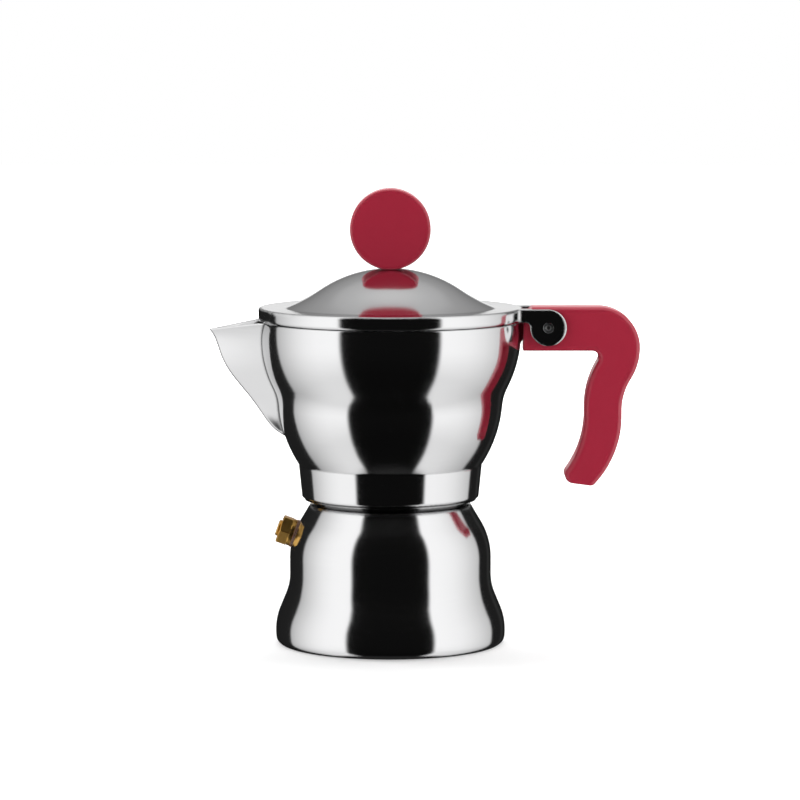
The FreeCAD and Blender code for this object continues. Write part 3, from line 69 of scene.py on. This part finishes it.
# The hinge hole through the lid's ears: X and Z of its axis, and a radius just outside its edge.
HINGE_HOLE = (0.0516, 0.1051, 0.0019)

# Painted shade in inner corners: the share of free space over a point where the painted shade is deepest
# and where it ends, and the share of its brightness that the metal's colour keeps there.
CORNER_SHADE_FREE = (0.84, 0.95)
PAINTED_SHADE_BRIGHTNESS = (0.2, 1.0)

# How much lighter or darker the grain makes a colour, as a share of it.
METAL_GRAIN = 0.012
PLASTIC_GRAIN = 0.04

# How much white is in the tint of the plastic's sheen.
SHEEN_WHITE = 0.35


def colour_property(name, description, default):
    """A colour that a user may change."""
    return FloatVectorProperty(name=name, description=description, default=default, size=3, min=0.0, max=1.0,
                               subtype="COLOR")


class MokaFinish(PropertyGroup):
    """Colours and surface qualities of the pot's materials."""

    metal: colour_property("Aluminium", "Colour of the polished aluminium", (0.77, 0.77, 0.775))
    metal_roughness: FloatProperty(
        name="Polish", description="Roughness of boiler and collector", default=0.12, min=0.0, max=1.0)
    lid_roughness: FloatProperty(
        name="Lid polish", description="Roughness of the lid", default=0.11, min=0.0, max=1.0)
    plain_metal: colour_property("Plain aluminium", "Colour of the pressed inner pieces", (0.72, 0.72, 0.73))
    plastic: colour_property("Red plastic", "Colour of knob and handle", (0.39, 0.0155, 0.041))
    brass: colour_property("Brass", "Colour of the safety valve", (0.86, 0.50, 0.13))
    steel: colour_property("Steel", "Colour of screws and pins", (0.55, 0.55, 0.56))
    rubber: colour_property("Rubber", "Colour of the large seal", (0.74, 0.72, 0.66))
    fibre: colour_property("Fibre", "Colour of the valve's washer", (0.13, 0.055, 0.025))


class MokaStage(PropertyGroup):
    """Camera, floor, reflection cards and light."""

    camera_across: FloatProperty(
        name="Camera across", description="Camera's place along X", default=0.00317, unit="LENGTH")
    camera_distance: FloatProperty(
        name="Camera distance", description="Camera's distance in front of the axis", default=1.2295,
        unit="LENGTH")
    camera_height: FloatProperty(
        name="Camera height", description="Camera's height over the floor", default=0.206, unit="LENGTH")
    camera_pitch: FloatProperty(
        name="Camera pitch", description="Angle that the camera looks down", default=math.radians(5.83),
        subtype="ANGLE")
    camera_lens: FloatProperty(
        name="Lens", description="Focal length on a 36 mm sensor, in millimetres", default=168.84)
    floor_colour: colour_property("Floor", "Colour of the floor", (0.78, 0.78, 0.78))
    floor_size: FloatProperty(
        name="Floor size", description="Half width of the floor", default=4.0, unit="LENGTH")
    floor_glow: FloatProperty(
        name="Floor glow", description="White added to the floor round the pot, as the camera sees it",
        default=0.23, min=0.0, max=1.0)
    floor_near: FloatProperty(
        name="Floor near", description="Distance up to which the floor has that glow", default=0.3,
        unit="LENGTH")
    floor_far: FloatProperty(
        name="Floor far", description="Distance from which the floor is white", default=0.9, unit="LENGTH")
    world_light: FloatProperty(
        name="World light", description="Strength of the world as light on the object", default=0.36, min=0.0)
    tent_radius: FloatProperty(
        name="Tent radius", description="Radius of the globe that reflections see", default=2.5,
        unit="LENGTH")
    roof_lean: FloatProperty(
        name="Roof lean", description="Angle that the tent's grey roof leans back",
        default=math.radians(40.0), subtype="ANGLE")
    tent_level: FloatProperty(
        name="Tent level", description="Brightness of the tent's white", default=1.2, min=0.0)
    wall_spread: FloatProperty(
        name="Wall spread", description="How much wider the tent's fields are towards roof and ground",
        default=0.14)
    front_power: FloatProperty(
        name="Front lamps", description="Power of each of the two front lamps, in watts", default=5.3)
    top_power: FloatProperty(
        name="Top lamp", description="Power of the lamp overhead, in watts", default=20.0)
    rim_power: FloatProperty(
        name="Rim lamps", description="Power of each of the two lamps at the sides, in watts", default=11.0)


def finish():
    """The finish that a user has set."""
    return bpy.context.scene.moka_finish


def stage_settings():
    """The stage that a user has set."""
    return bpy.context.scene.moka_stage


def rgba(colour):
    """A colour with full opacity."""
    return (colour[0], colour[1], colour[2], 1.0)


def grey(level):
    """A grey with full opacity."""
    return (level, level, level, 1.0)


def new_material(name):
    """An empty node material; returns the material, its nodes and its links."""
    material = bpy.data.materials.new(name)
    material.use_nodes = True
    material.node_tree.nodes.clear()
    nodes, links = material.node_tree.nodes, material.node_tree.links
    return material, nodes, links


def add_node(nodes, kind, place=(0, 0), **values):
    """A node with its own properties set."""
    node = nodes.new(kind)
    node.location = place
    for key, value in values.items():
        setattr(node, key, value)
    return node


def feed(links, socket, value):
    """Set a socket to a number or a colour, or join another socket to it."""
    if isinstance(value, (int, float, tuple)):
        socket.default_value = value
    else:
        links.new(value, socket)


def math_node(nodes, links, operation, place, *values):
    """A Math node whose inputs are numbers or sockets; returns its output."""
    node = add_node(nodes, "ShaderNodeMath", place, operation=operation)
    for socket, value in zip(node.inputs, values):
        feed(links, socket, value)
    return node.outputs[0]


def map_range(nodes, links, place, value, source, target):
    """A value carried from one range to another, ends held; the ends are numbers or sockets."""
    node = add_node(nodes, "ShaderNodeMapRange", place)
    for label, end in zip(("From Min", "From Max", "To Min", "To Max"), source + target):
        feed(links, node.inputs[label], end)
    links.new(value, node.inputs["Value"])
    return node.outputs["Result"]


def degrees_ramp(nodes, links, place, value, low, high, stops):
    """A ramp of grey levels over degrees, where the value goes from 0 to 1 between low and high."""
    node = add_node(nodes, "ShaderNodeValToRGB", place)
    ramp = node.color_ramp
    while len(ramp.elements) < len(stops):
        ramp.elements.new(1.0)
    for element, (angle, level) in zip(ramp.elements, stops):
        element.position = (angle - low) / (high - low)
        element.color = grey(level)
    links.new(value, node.inputs["Fac"])
    return node.outputs["Color"]


def blend(nodes, links, place, share, first, second):
    """A mix of two colours by a share; returns its colour."""
    mix = add_node(nodes, "ShaderNodeMix", place, data_type="RGBA")
    links.new(share, mix.inputs["Factor"])
    feed(links, mix.inputs["A"], first)
    feed(links, mix.inputs["B"], second)
    return mix.outputs["Result"]


def principled(nodes, links, **values):
    """A Principled shader joined to the output, with constants on its own sockets."""
    shader = add_node(nodes, "ShaderNodeBsdfPrincipled", (0, 0))
    output = add_node(nodes, "ShaderNodeOutputMaterial", (300, 0))
    links.new(shader.outputs["BSDF"], output.inputs["Surface"])
    for key, value in values.items():
        shader.inputs[key.replace("_", " ")].default_value = value
    return shader


def new_group(name, inputs, outputs):
    """An empty shader node group from rows of label, kind and default, and of label and kind.

    Returns its nodes, its links, and the nodes where it starts and ends.
    """
    group = bpy.data.node_groups.new(name, "ShaderNodeTree")
    for label, kind, default in inputs:
        socket = group.interface.new_socket(label, in_out="INPUT", socket_type="NodeSocket" + kind)
        socket.default_value = default
    for label, kind in outputs:
        group.interface.new_socket(label, in_out="OUTPUT", socket_type="NodeSocket" + kind)
    start = add_node(group.nodes, "NodeGroupInput", (-1100, 0))
    end = add_node(group.nodes, "NodeGroupOutput", (500, 0))
    return group.nodes, group.links, start, end


def place_group(nodes, links, place, make, **values):
    """A node group in a material, built on its first use, with its inputs set or joined."""
    name = make.__name__.replace("_", " ")
    if name not in bpy.data.node_groups:
        make(name)
    node = add_node(nodes, "ShaderNodeGroup", place, node_tree=bpy.data.node_groups[name])
    for key, value in values.items():
        feed(links, node.inputs[key], value)
    return node


def lathe_grain(name):
    """Fine rings left by polishing on a lathe: noise that runs round the axis and changes quickly along it.

    The rings are a noise of height alone, broken up a little by direction. Roughness is the given value
    plus the rings times an amount; Height feeds a bump.
    """
    nodes, links, start, end = new_group(
        name, (("Roughness", "Float", 0.25), ("Amount", "Float", 0.05), ("Rings", "Float", 900.0)),
        (("Roughness", "Float"), ("Height", "Float")))
    place = add_node(nodes, "ShaderNodeTexCoord", (-1100, -200))
    split = add_node(nodes, "ShaderNodeSeparateXYZ", (-900, -250))
    links.new(place.outputs["Object"], split.inputs["Vector"])
    along = math_node(nodes, links, "MULTIPLY", (-700, -250), split.outputs["Z"], start.outputs["Rings"])
    around = math_node(nodes, links, "ARCTAN2", (-700, -420), split.outputs["Y"], split.outputs["X"])
    join = add_node(nodes, "ShaderNodeCombineXYZ", (-500, -300))
    links.new(around, join.inputs["X"])
    links.new(along, join.inputs["Y"])
    noise = add_node(nodes, "ShaderNodeTexNoise", (-300, -250), noise_dimensions="2D")
    noise.inputs["Scale"].default_value = 1.5
    noise.inputs["Detail"].default_value = 3.0
    links.new(join.outputs["Vector"], noise.inputs["Vector"])
    centre = math_node(nodes, links, "SUBTRACT", (-100, -100), noise.outputs["Fac"], 0.5)
    change = math_node(nodes, links, "MULTIPLY_ADD", (80, -50), centre, start.outputs["Amount"],
                       start.outputs["Roughness"])
    links.new(change, end.inputs["Roughness"])
    links.new(noise.outputs["Fac"], end.inputs["Height"])


def moulded_grain(name):
    """Faint grain of a mould: a fine noise that goes from a smooth to a rough finish; Height feeds a bump."""
    nodes, links, start, end = new_group(
        name, (("Scale", "Float", 1400.0), ("Smooth", "Float", 0.15), ("Rough", "Float", 0.25)),
        (("Roughness", "Float"), ("Height", "Float")))
    place = add_node(nodes, "ShaderNodeTexCoord", (-900, -200))
    noise = add_node(nodes, "ShaderNodeTexNoise", (-700, 0))
    noise.inputs["Detail"].default_value = 4.0
    links.new(start.outputs["Scale"], noise.inputs["Scale"])
    links.new(place.outputs["Object"], noise.inputs["Vector"])
    gloss = map_range(nodes, links, (-450, 0), noise.outputs["Fac"], (0.0, 1.0),
                      (start.outputs["Smooth"], start.outputs["Rough"]))
    links.new(gloss, end.inputs["Roughness"])
    links.new(noise.outputs["Fac"], end.inputs["Height"])


def colour_grain(name):
    """A colour that a pattern from 0 to 1 makes up to a depth darker or lighter, times a share; polished
    metal feeds painted corner shade into that share.
    """
    nodes, links, start, end = new_group(
        name, (("Color", "Color", grey(0.8)), ("Pattern", "Float", 0.5), ("Depth", "Float", METAL_GRAIN),
               ("Share", "Float", 1.0)), (("Color", "Color"),))
    darker = math_node(nodes, links, "SUBTRACT", (-800, 100), 1.0, start.outputs["Depth"])
    lighter = math_node(nodes, links, "ADD", (-800, -100), 1.0, start.outputs["Depth"])
    grain = map_range(nodes, links, (-500, 0), start.outputs["Pattern"], (0.0, 1.0), (darker, lighter))
    value = math_node(nodes, links, "MULTIPLY", (-250, 0), grain, start.outputs["Share"])
    tone = add_node(nodes, "ShaderNodeHueSaturation", (0, 0))
    links.new(start.outputs["Color"], tone.inputs["Color"])
    links.new(value, tone.inputs["Value"])
    links.new(tone.outputs["Color"], end.inputs["Color"])


def soft_edges(name):
    """Shading that is rounded over sharp edges within a radius."""
    nodes, links, start, end = new_group(name, (("Radius", "Float", 0.0004),), (("Normal", "Vector"),))
    edge = add_node(nodes, "ShaderNodeBevel", (-500, 0), samples=8)
    links.new(start.outputs["Radius"], edge.inputs["Radius"])
    links.new(edge.outputs["Normal"], end.inputs["Normal"])


def dull_corners(name):
    """Painted shade in inner corners: a share of the colour that is 1 in the open and falls in them.

    It follows how much of the space over a point its own piece leaves free within a width.
    """
    nodes, links, start, end = new_group(name, (("Width", "Float", 0.002),), (("Share", "Float"),))
    free = add_node(nodes, "ShaderNodeAmbientOcclusion", (-700, 0), samples=16, only_local=True)
    links.new(start.outputs["Width"], free.inputs["Distance"])
    share = map_range(nodes, links, (-300, 0), free.outputs["AO"], CORNER_SHADE_FREE, PAINTED_SHADE_BRIGHTNESS)
    links.new(share, end.inputs["Share"])


def edge_outside_hole(nodes, links, width, hole):
    """A width for softened edges that falls to nothing at a hole along Y, which keeps its sharp edge.

    It grows with the distance from the hole's axis, from 0 at the hole's radius to the width.
    """
    across, up, radius = hole
    place = add_node(nodes, "ShaderNodeTexCoord", (-1300, -400))
    flat = add_node(nodes, "ShaderNodeVectorMath", (-1100, -400), operation="MULTIPLY")
    flat.inputs[1].default_value = (1.0, 0.0, 1.0)
    links.new(place.outputs["Object"], flat.inputs[0])
    away = add_node(nodes, "ShaderNodeVectorMath", (-900, -400), operation="DISTANCE")
    away.inputs[1].default_value = (across, 0.0, up)
    links.new(flat.outputs["Vector"], away.inputs[0])
    return map_range(nodes, links, (-700, -400), away.outputs["Value"], (radius, radius + width),
                     (0.0, width))


def add_relief(nodes, links, shader, height, *, strength, distance, edge):
    """A bump over softened edges, joined to the shader's Normal."""
    rounding = place_group(nodes, links, (-500, -300), soft_edges, Radius=edge)
    relief = add_node(nodes, "ShaderNodeBump", (-250, -200))
    relief.inputs["Strength"].default_value = strength
    relief.inputs["Distance"].default_value = distance
    links.new(height, relief.inputs["Height"])
    links.new(rounding.outputs["Normal"], relief.inputs["Normal"])
    links.new(relief.outputs["Normal"], shader.inputs["Normal"])


def polished_metal(name, colour, roughness, *, stretch, grain, relief, edge=0.0004, hole=None, corner_shade_width=None):
    """Turned and polished metal: reflections are drawn out along the axis by the rings of the polish.

    Stretch is how far they are drawn out, grain and relief how much the rings change roughness and slope,
    edge and the corner width the widths of softened edges and of the painted shade in inner corners.
    """
    material, nodes, links = new_material(name)
    shader = principled(nodes, links, Metallic=1.0, Anisotropic=stretch, Anisotropic_Rotation=0.25)
    tangent = add_node(nodes, "ShaderNodeTangent", (-250, -450), direction_type="RADIAL", axis="Z")
    links.new(tangent.outputs["Tangent"], shader.inputs["Tangent"])
    rings = place_group(nodes, links, (-600, 0), lathe_grain, Roughness=roughness, Amount=grain)
    links.new(rings.outputs["Roughness"], shader.inputs["Roughness"])
    if hole:
        edge = edge_outside_hole(nodes, links, edge, hole)
    add_relief(nodes, links, shader, rings.outputs["Height"], strength=relief, distance=0.00002, edge=edge)
    tone = place_group(nodes, links, (-250, 250), colour_grain, Color=rgba(colour),
                       Pattern=rings.outputs["Height"], Depth=METAL_GRAIN)
    # Painted shade: the metal's colour darkens in inner corners, where the piece closes in the space over it.
    if corner_shade_width:
        corner_shade = place_group(nodes, links, (-500, 400), dull_corners, Width=corner_shade_width)
        links.new(corner_shade.outputs["Share"], tone.inputs["Share"])
    links.new(tone.outputs["Color"], shader.inputs["Base Color"])
    return material


def moulded_plastic(name, colour):
    """Moulded plastic with a faint grain in colour and gloss, and a sheen of its own hue at flat angles."""
    material, nodes, links = new_material(name)
    tint = tuple(SHEEN_WHITE + (1.0 - SHEEN_WHITE) * part / max(colour) for part in colour)
    shader = principled(nodes, links, Specular_IOR_Level=0.8, Sheen_Weight=0.5, Sheen_Roughness=0.35,
                        Sheen_Tint=rgba(tint))
    grain = place_group(nodes, links, (-700, 0), moulded_grain)
    links.new(grain.outputs["Roughness"], shader.inputs["Roughness"])
    add_relief(nodes, links, shader, grain.outputs["Height"], strength=0.08, distance=0.0001, edge=0.0015)
    tone = place_group(nodes, links, (-250, 250), colour_grain, Color=rgba(colour),
                       Pattern=grain.outputs["Height"], Depth=PLASTIC_GRAIN)
    links.new(tone.outputs["Color"], shader.inputs["Base Color"])
    return material


def paint(node, material):
    """Give a CAD node a material in all its slots."""
    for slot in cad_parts[node].material_slots:
        slot.material = material


class MOKA_OT_polished_metal(Operator):
    """Polish the boiler, the collector and the lid"""

    bl_idname = "moka.polished_metal"
    bl_label = "Polished metal"

    def execute(self, context):
        look = finish()
        # Boiler and collector get painted shade in their inner corners, over the last width that is given.
        paint("boiler", polished_metal(
            "polished boiler", look.metal, look.metal_roughness, stretch=0.7, grain=0.05, relief=0.15,
            edge=0.0022, corner_shade_width=0.002))
        paint("collector", polished_metal(
            "polished collector", look.metal, look.metal_roughness, stretch=0.7, grain=0.05, relief=0.15,
            edge=0.0009, corner_shade_width=0.0014))
        paint("lid", polished_metal(
            "polished lid", look.metal, look.lid_roughness, stretch=0.6, grain=0.05, relief=0.1,
            edge=0.0017, hole=HINGE_HOLE))
        return {"FINISHED"}


class MOKA_OT_plastic(Operator):
    """Colour the knob and the handle"""

    bl_idname = "moka.plastic"
    bl_label = "Red plastic"

    def execute(self, context):
        red = moulded_plastic("red plastic", finish().plastic)
        for node in ("lid_knob", "handle"):
            paint(node, red)
        return {"FINISHED"}


class MOKA_OT_small_metal(Operator):
    """Finish the valve, the screws, the filters and the inner pieces"""

    bl_idname = "moka.small_metal"
    bl_label = "Small pieces"

    def execute(self, context):
        look = finish()
        brass = polished_metal("turned brass", look.brass, roughness=0.36, stretch=0.2, grain=0.15,
                               relief=0.3)
        steel = polished_metal("plain steel", look.steel, roughness=0.3, stretch=0.2, grain=0.15,
                               relief=0.3)
        plain = polished_metal("pressed aluminium", look.plain_metal, roughness=0.4, stretch=0.4, grain=0.15,
                               relief=0.3)
        rubber = moulded_plastic("seal rubber", look.rubber)
        fibre = moulded_plastic("washer fibre", look.fibre)
        for material, nodes in (
                (brass, ("valve_body", "valve_cap", "knob_insert")),
                (steel, ("valve_ball", "valve_spring", "hinge_sleeve", "hinge_screw", "knob_screw",
                         "knob_washer")),
                (plain, ("funnel_cup", "funnel_stem", "lower_filter", "filter_plate", "riser_column",
                         "column_cap")),
                (rubber, ("gasket",)),
                (fibre, ("valve_washer",))):
            for node in nodes:
                paint(node, material)
        return {"FINISHED"}


def grid_mesh(name, points):
    """A mesh from a grid of points of shape rows x columns x 3, with faces between neighbours."""
    rows, columns = points.shape[:2]
    index = np.arange(rows * columns).reshape(rows, columns)
    corners = [index[:-1, :-1], index[:-1, 1:], index[1:, 1:], index[1:, :-1]]
    mesh = bpy.data.meshes.new(name)
    mesh.from_pydata(points.reshape(-1, 3).tolist(), [], np.stack(corners, axis=-1).reshape(-1, 4).tolist())
    mesh.update()
    return mesh


def place_object(name, mesh, material):
    """A new object at the origin."""
    piece = bpy.data.objects.new(name, mesh)
    bpy.context.scene.collection.objects.link(piece)
    mesh.materials.append(material)
    return piece


def glow(name, level):
    """A plain surface that shines at one grey level; returns the material, its nodes, links and light."""
    material, nodes, links = new_material(name)
    light = add_node(nodes, "ShaderNodeEmission", (0, 0))
    light.inputs["Color"].default_value = grey(level)
    light.inputs["Strength"].default_value = stage_settings().tent_level
    output = add_node(nodes, "ShaderNodeOutputMaterial", (200, 0))
    links.new(light.outputs["Emission"], output.inputs["Surface"])
    return material, nodes, links, light


def tent_material():
    """Light of the reflection tent: grey levels by direction.

    Round the pot the tent is black in front, white at both sides and dark behind, in fields that widen
    with the square of the tilt's sine. Overhead, about an axis that leans back, it is grey, and towards the
    ground it is dark.
    """
    material, nodes, links, light = glow("reflection tent", 0.0)
    place = add_node(nodes, "ShaderNodeTexCoord", (-1800, 0))
    way = add_node(nodes, "ShaderNodeVectorMath", (-1600, 0), operation="NORMALIZE")
    links.new(place.outputs["Object"], way.inputs[0])
    split = add_node(nodes, "ShaderNodeSeparateXYZ", (-1400, 0))
    links.new(way.outputs["Vector"], split.inputs["Vector"])
    away = math_node(nodes, links, "MULTIPLY", (-1200, 200), split.outputs["Y"], -1.0)
    turn = math_node(nodes, links, "ARCTAN2", (-1200, 400), split.outputs["X"], away)
    steep = math_node(nodes, links, "POWER", (-1200, 50), split.outputs["Z"], 2.0)
    spread = math_node(nodes, links, "MULTIPLY_ADD", (-1000, 50), steep, stage_settings().wall_spread, 1.0)
    fan = math_node(nodes, links, "DIVIDE", (-1000, 300), turn, spread)
    round_share = math_node(nodes, links, "MULTIPLY_ADD", (-800, 200), fan, 0.5 / math.pi, 0.5)
    tilt = math_node(nodes, links, "ARCSINE", (-1000, -200), split.outputs["Z"])
    tilt_share = math_node(nodes, links, "MULTIPLY_ADD", (-800, -200), tilt, 1.0 / math.pi, 0.5)
    lean = stage_settings().roof_lean
    near = add_node(nodes, "ShaderNodeVectorMath", (-1400, -400), operation="DOT_PRODUCT")
    near.inputs[1].default_value = (0.0, math.sin(lean), math.cos(lean))
    links.new(way.outputs["Vector"], near.inputs[0])
    apart = math_node(nodes, links, "ARCCOSINE", (-1000, -400), near.outputs["Value"])
    roof_share = math_node(nodes, links, "MULTIPLY", (-800, -400), apart, 1.0 / math.pi)
    walls = degrees_ramp(nodes, links, (-600, 300), round_share, -180, 180, TENT_WALLS)
    lit = degrees_ramp(nodes, links, (-600, 600), tilt_share, -90, 90, TENT_WALLS_SHARE)
    roof = degrees_ramp(nodes, links, (-600, 0), tilt_share, -90, 90, TENT_ROOF)
    over = degrees_ramp(nodes, links, (-600, -300), roof_share, 0, 180, TENT_ROOF_SHARE)
    under = degrees_ramp(nodes, links, (-600, -600), tilt_share, -90, 90, TENT_GROUND_SHARE)
    sides = blend(nodes, links, (-450, 300), lit, grey(0.0), walls)
    upper = blend(nodes, links, (-350, 100), over, sides, roof)
    whole = blend(nodes, links, (-180, 0), under, upper, grey(TENT_GROUND))
    links.new(whole, light.inputs["Color"])
    return material


def globe_patch(name, radius, turns, tilts, material):
    """A patch of a globe round the stage that only reflections see.

    A point at direction a round the axis and tilt e over the horizon lies at
    (r cos e sin a, -r cos e cos a, r sin e).
    """
    turn, tilt = np.meshgrid(np.radians(turns), np.radians(tilts))
    ways = [np.cos(tilt) * np.sin(turn), -np.cos(tilt) * np.cos(turn), np.sin(tilt)]
    patch = place_object(name, grid_mesh(name, radius * np.stack(ways, axis=-1)), material)
    for way in ("visible_camera", "visible_diffuse", "visible_transmission", "visible_volume_scatter",
                "visible_shadow"):
        setattr(patch, way, False)


def hang_tent():
    """The globe that reflections see, and the cards inside it."""
    radius = stage_settings().tent_radius
    globe_patch("reflection tent", radius, np.linspace(-180, 180, TENT_COLUMNS),
                np.linspace(-90, 90, TENT_ROWS), tent_material())
    for name, turns, columns, tilts, level in CARDS:
        globe_patch(name, CARD_DEPTH * radius, np.linspace(*turns, columns), np.linspace(*tilts, CARD_ROWS),
                    glow(name, level)[0])


def background_share(nodes, links):
    """1 on a ray from the camera, a mirror or glass, which sees the background, and 0 on any other."""
    path = add_node(nodes, "ShaderNodeLightPath", (-600, 0))
    seen = math_node(nodes, links, "MAXIMUM", (-400, 0), path.outputs["Is Camera Ray"],
                     path.outputs["Is Glossy Ray"])
    return math_node(nodes, links, "MAXIMUM", (-250, 0), seen, path.outputs["Is Transmission Ray"])


def floor_material():
    """Pale floor that keeps the shadow near the pot and runs out to white, away from the lamps."""
    setup = stage_settings()
    material, nodes, links = new_material("studio floor")
    ground = add_node(nodes, "ShaderNodeBsdfDiffuse", (0, 100))
    ground.inputs["Color"].default_value = rgba(setup.floor_colour)
    light = add_node(nodes, "ShaderNodeEmission", (0, -100))
    light.inputs["Color"].default_value = grey(1.0)
    place = add_node(nodes, "ShaderNodeTexCoord", (-1000, -200))
    far = add_node(nodes, "ShaderNodeVectorMath", (-800, -200), operation="LENGTH")
    links.new(place.outputs["Object"], far.inputs[0])
    level = map_range(nodes, links, (-600, -200), far.outputs["Value"], (setup.floor_near, setup.floor_far),
                      (setup.floor_glow, 1.0))
    amount = math_node(nodes, links, "MULTIPLY", (-100, -100), background_share(nodes, links), level)
    links.new(amount, light.inputs["Strength"])
    both = add_node(nodes, "ShaderNodeAddShader", (200, 0))
    links.new(ground.outputs["BSDF"], both.inputs[0])
    links.new(light.outputs["Emission"], both.inputs[1])
    output = add_node(nodes, "ShaderNodeOutputMaterial", (400, 0))
    links.new(both.outputs["Shader"], output.inputs["Surface"])
    return material


def lay_floor():
    """A square floor under the pot. Reflections see the tent's ground in its place."""
    half = stage_settings().floor_size
    corners = np.array([[[-half, -half, 0.0], [half, -half, 0.0]], [[-half, half, 0.0], [half, half, 0.0]]])
    ground = place_object("floor", grid_mesh("floor", corners), floor_material())
    ground.visible_glossy = False


def studio_world():
    """White where the camera or a reflection sees it, and a softer white as light on the object."""
    world = bpy.data.worlds.new("studio")
    world.use_nodes = True
    nodes, links = world.node_tree.nodes, world.node_tree.links
    nodes.clear()
    sky = add_node(nodes, "ShaderNodeBackground", (0, 0))
    sky.inputs["Color"].default_value = grey(1.0)
    strength = map_range(nodes, links, (-100, 0), background_share(nodes, links), (0.0, 1.0),
                         (stage_settings().world_light, 1.0))
    links.new(strength, sky.inputs["Strength"])
    output = add_node(nodes, "ShaderNodeOutputWorld", (200, 0))
    links.new(sky.outputs["Background"], output.inputs["Surface"])
    bpy.context.scene.world = world


def soft_lamp(name, place, width, power):
    """A square area lamp that points at the pot and isn't mirrored in it."""
    light = bpy.data.lights.new(name, "AREA")
    light.size = width
    light.energy = power
    lamp = bpy.data.objects.new(name, light)
    bpy.context.scene.collection.objects.link(lamp)
    way = np.array(LAMP_AIM) - np.array(place)
    flat = math.hypot(way[0], way[1])
    lamp.location = place
    lamp.rotation_euler = (math.atan2(flat, -way[2]), 0.0, math.atan2(way[1], way[0]) - math.pi / 2)
    lamp.visible_glossy = False


def place_camera():
    """The camera in front of the pot, which looks a little down."""
    setup = stage_settings()
    lens = bpy.data.cameras.new("camera")
    lens.sensor_width = 36.0
    lens.lens = setup.camera_lens
    camera = bpy.data.objects.new("camera", lens)
    bpy.context.scene.collection.objects.link(camera)
    camera.location = (setup.camera_across, -setup.camera_distance, setup.camera_height)
    camera.rotation_euler = (math.pi / 2 - setup.camera_pitch, 0.0, 0.0)
    bpy.context.scene.camera = camera


class MOKA_OT_stage(Operator):
    """Set up the floor, the reflection cards, the lamps, the world and the camera"""

    bl_idname = "moka.stage"
    bl_label = "Stage"

    def execute(self, context):
        context.scene.view_settings.view_transform = "Standard"
        studio_world()
        lay_floor()
        hang_tent()
        for name, place, width, power in LAMPS:
            soft_lamp(name, place, width, getattr(stage_settings(), power))
        place_camera()
        return {"FINISHED"}


STEPS = (MOKA_OT_polished_metal, MOKA_OT_plastic, MOKA_OT_small_metal, MOKA_OT_stage)


class MOKA_PT_panel(Panel):
    """The pot's steps in the sidebar"""

    bl_label = "Moka pot"
    bl_space_type = "VIEW_3D"
    bl_region_type = "UI"
    bl_category = "Moka"

    def draw(self, context):
        for step in STEPS:
            self.layout.operator(step.bl_idname)


CLASSES = (MokaFinish, MokaStage) + STEPS + (MOKA_PT_panel,)


def register():
    for item in CLASSES:
        bpy.utils.register_class(item)
    bpy.types.Scene.moka_finish = PointerProperty(type=MokaFinish)
    bpy.types.Scene.moka_stage = PointerProperty(type=MokaStage)


def unregister():
    del bpy.types.Scene.moka_stage
    del bpy.types.Scene.moka_finish
    for item in reversed(CLASSES):
        bpy.utils.unregister_class(item)


def main():
    register()
    bpy.ops.moka.polished_metal()
    bpy.ops.moka.plastic()
    bpy.ops.moka.small_metal()
    bpy.ops.moka.stage()


if __name__ == "__main__":
    main()
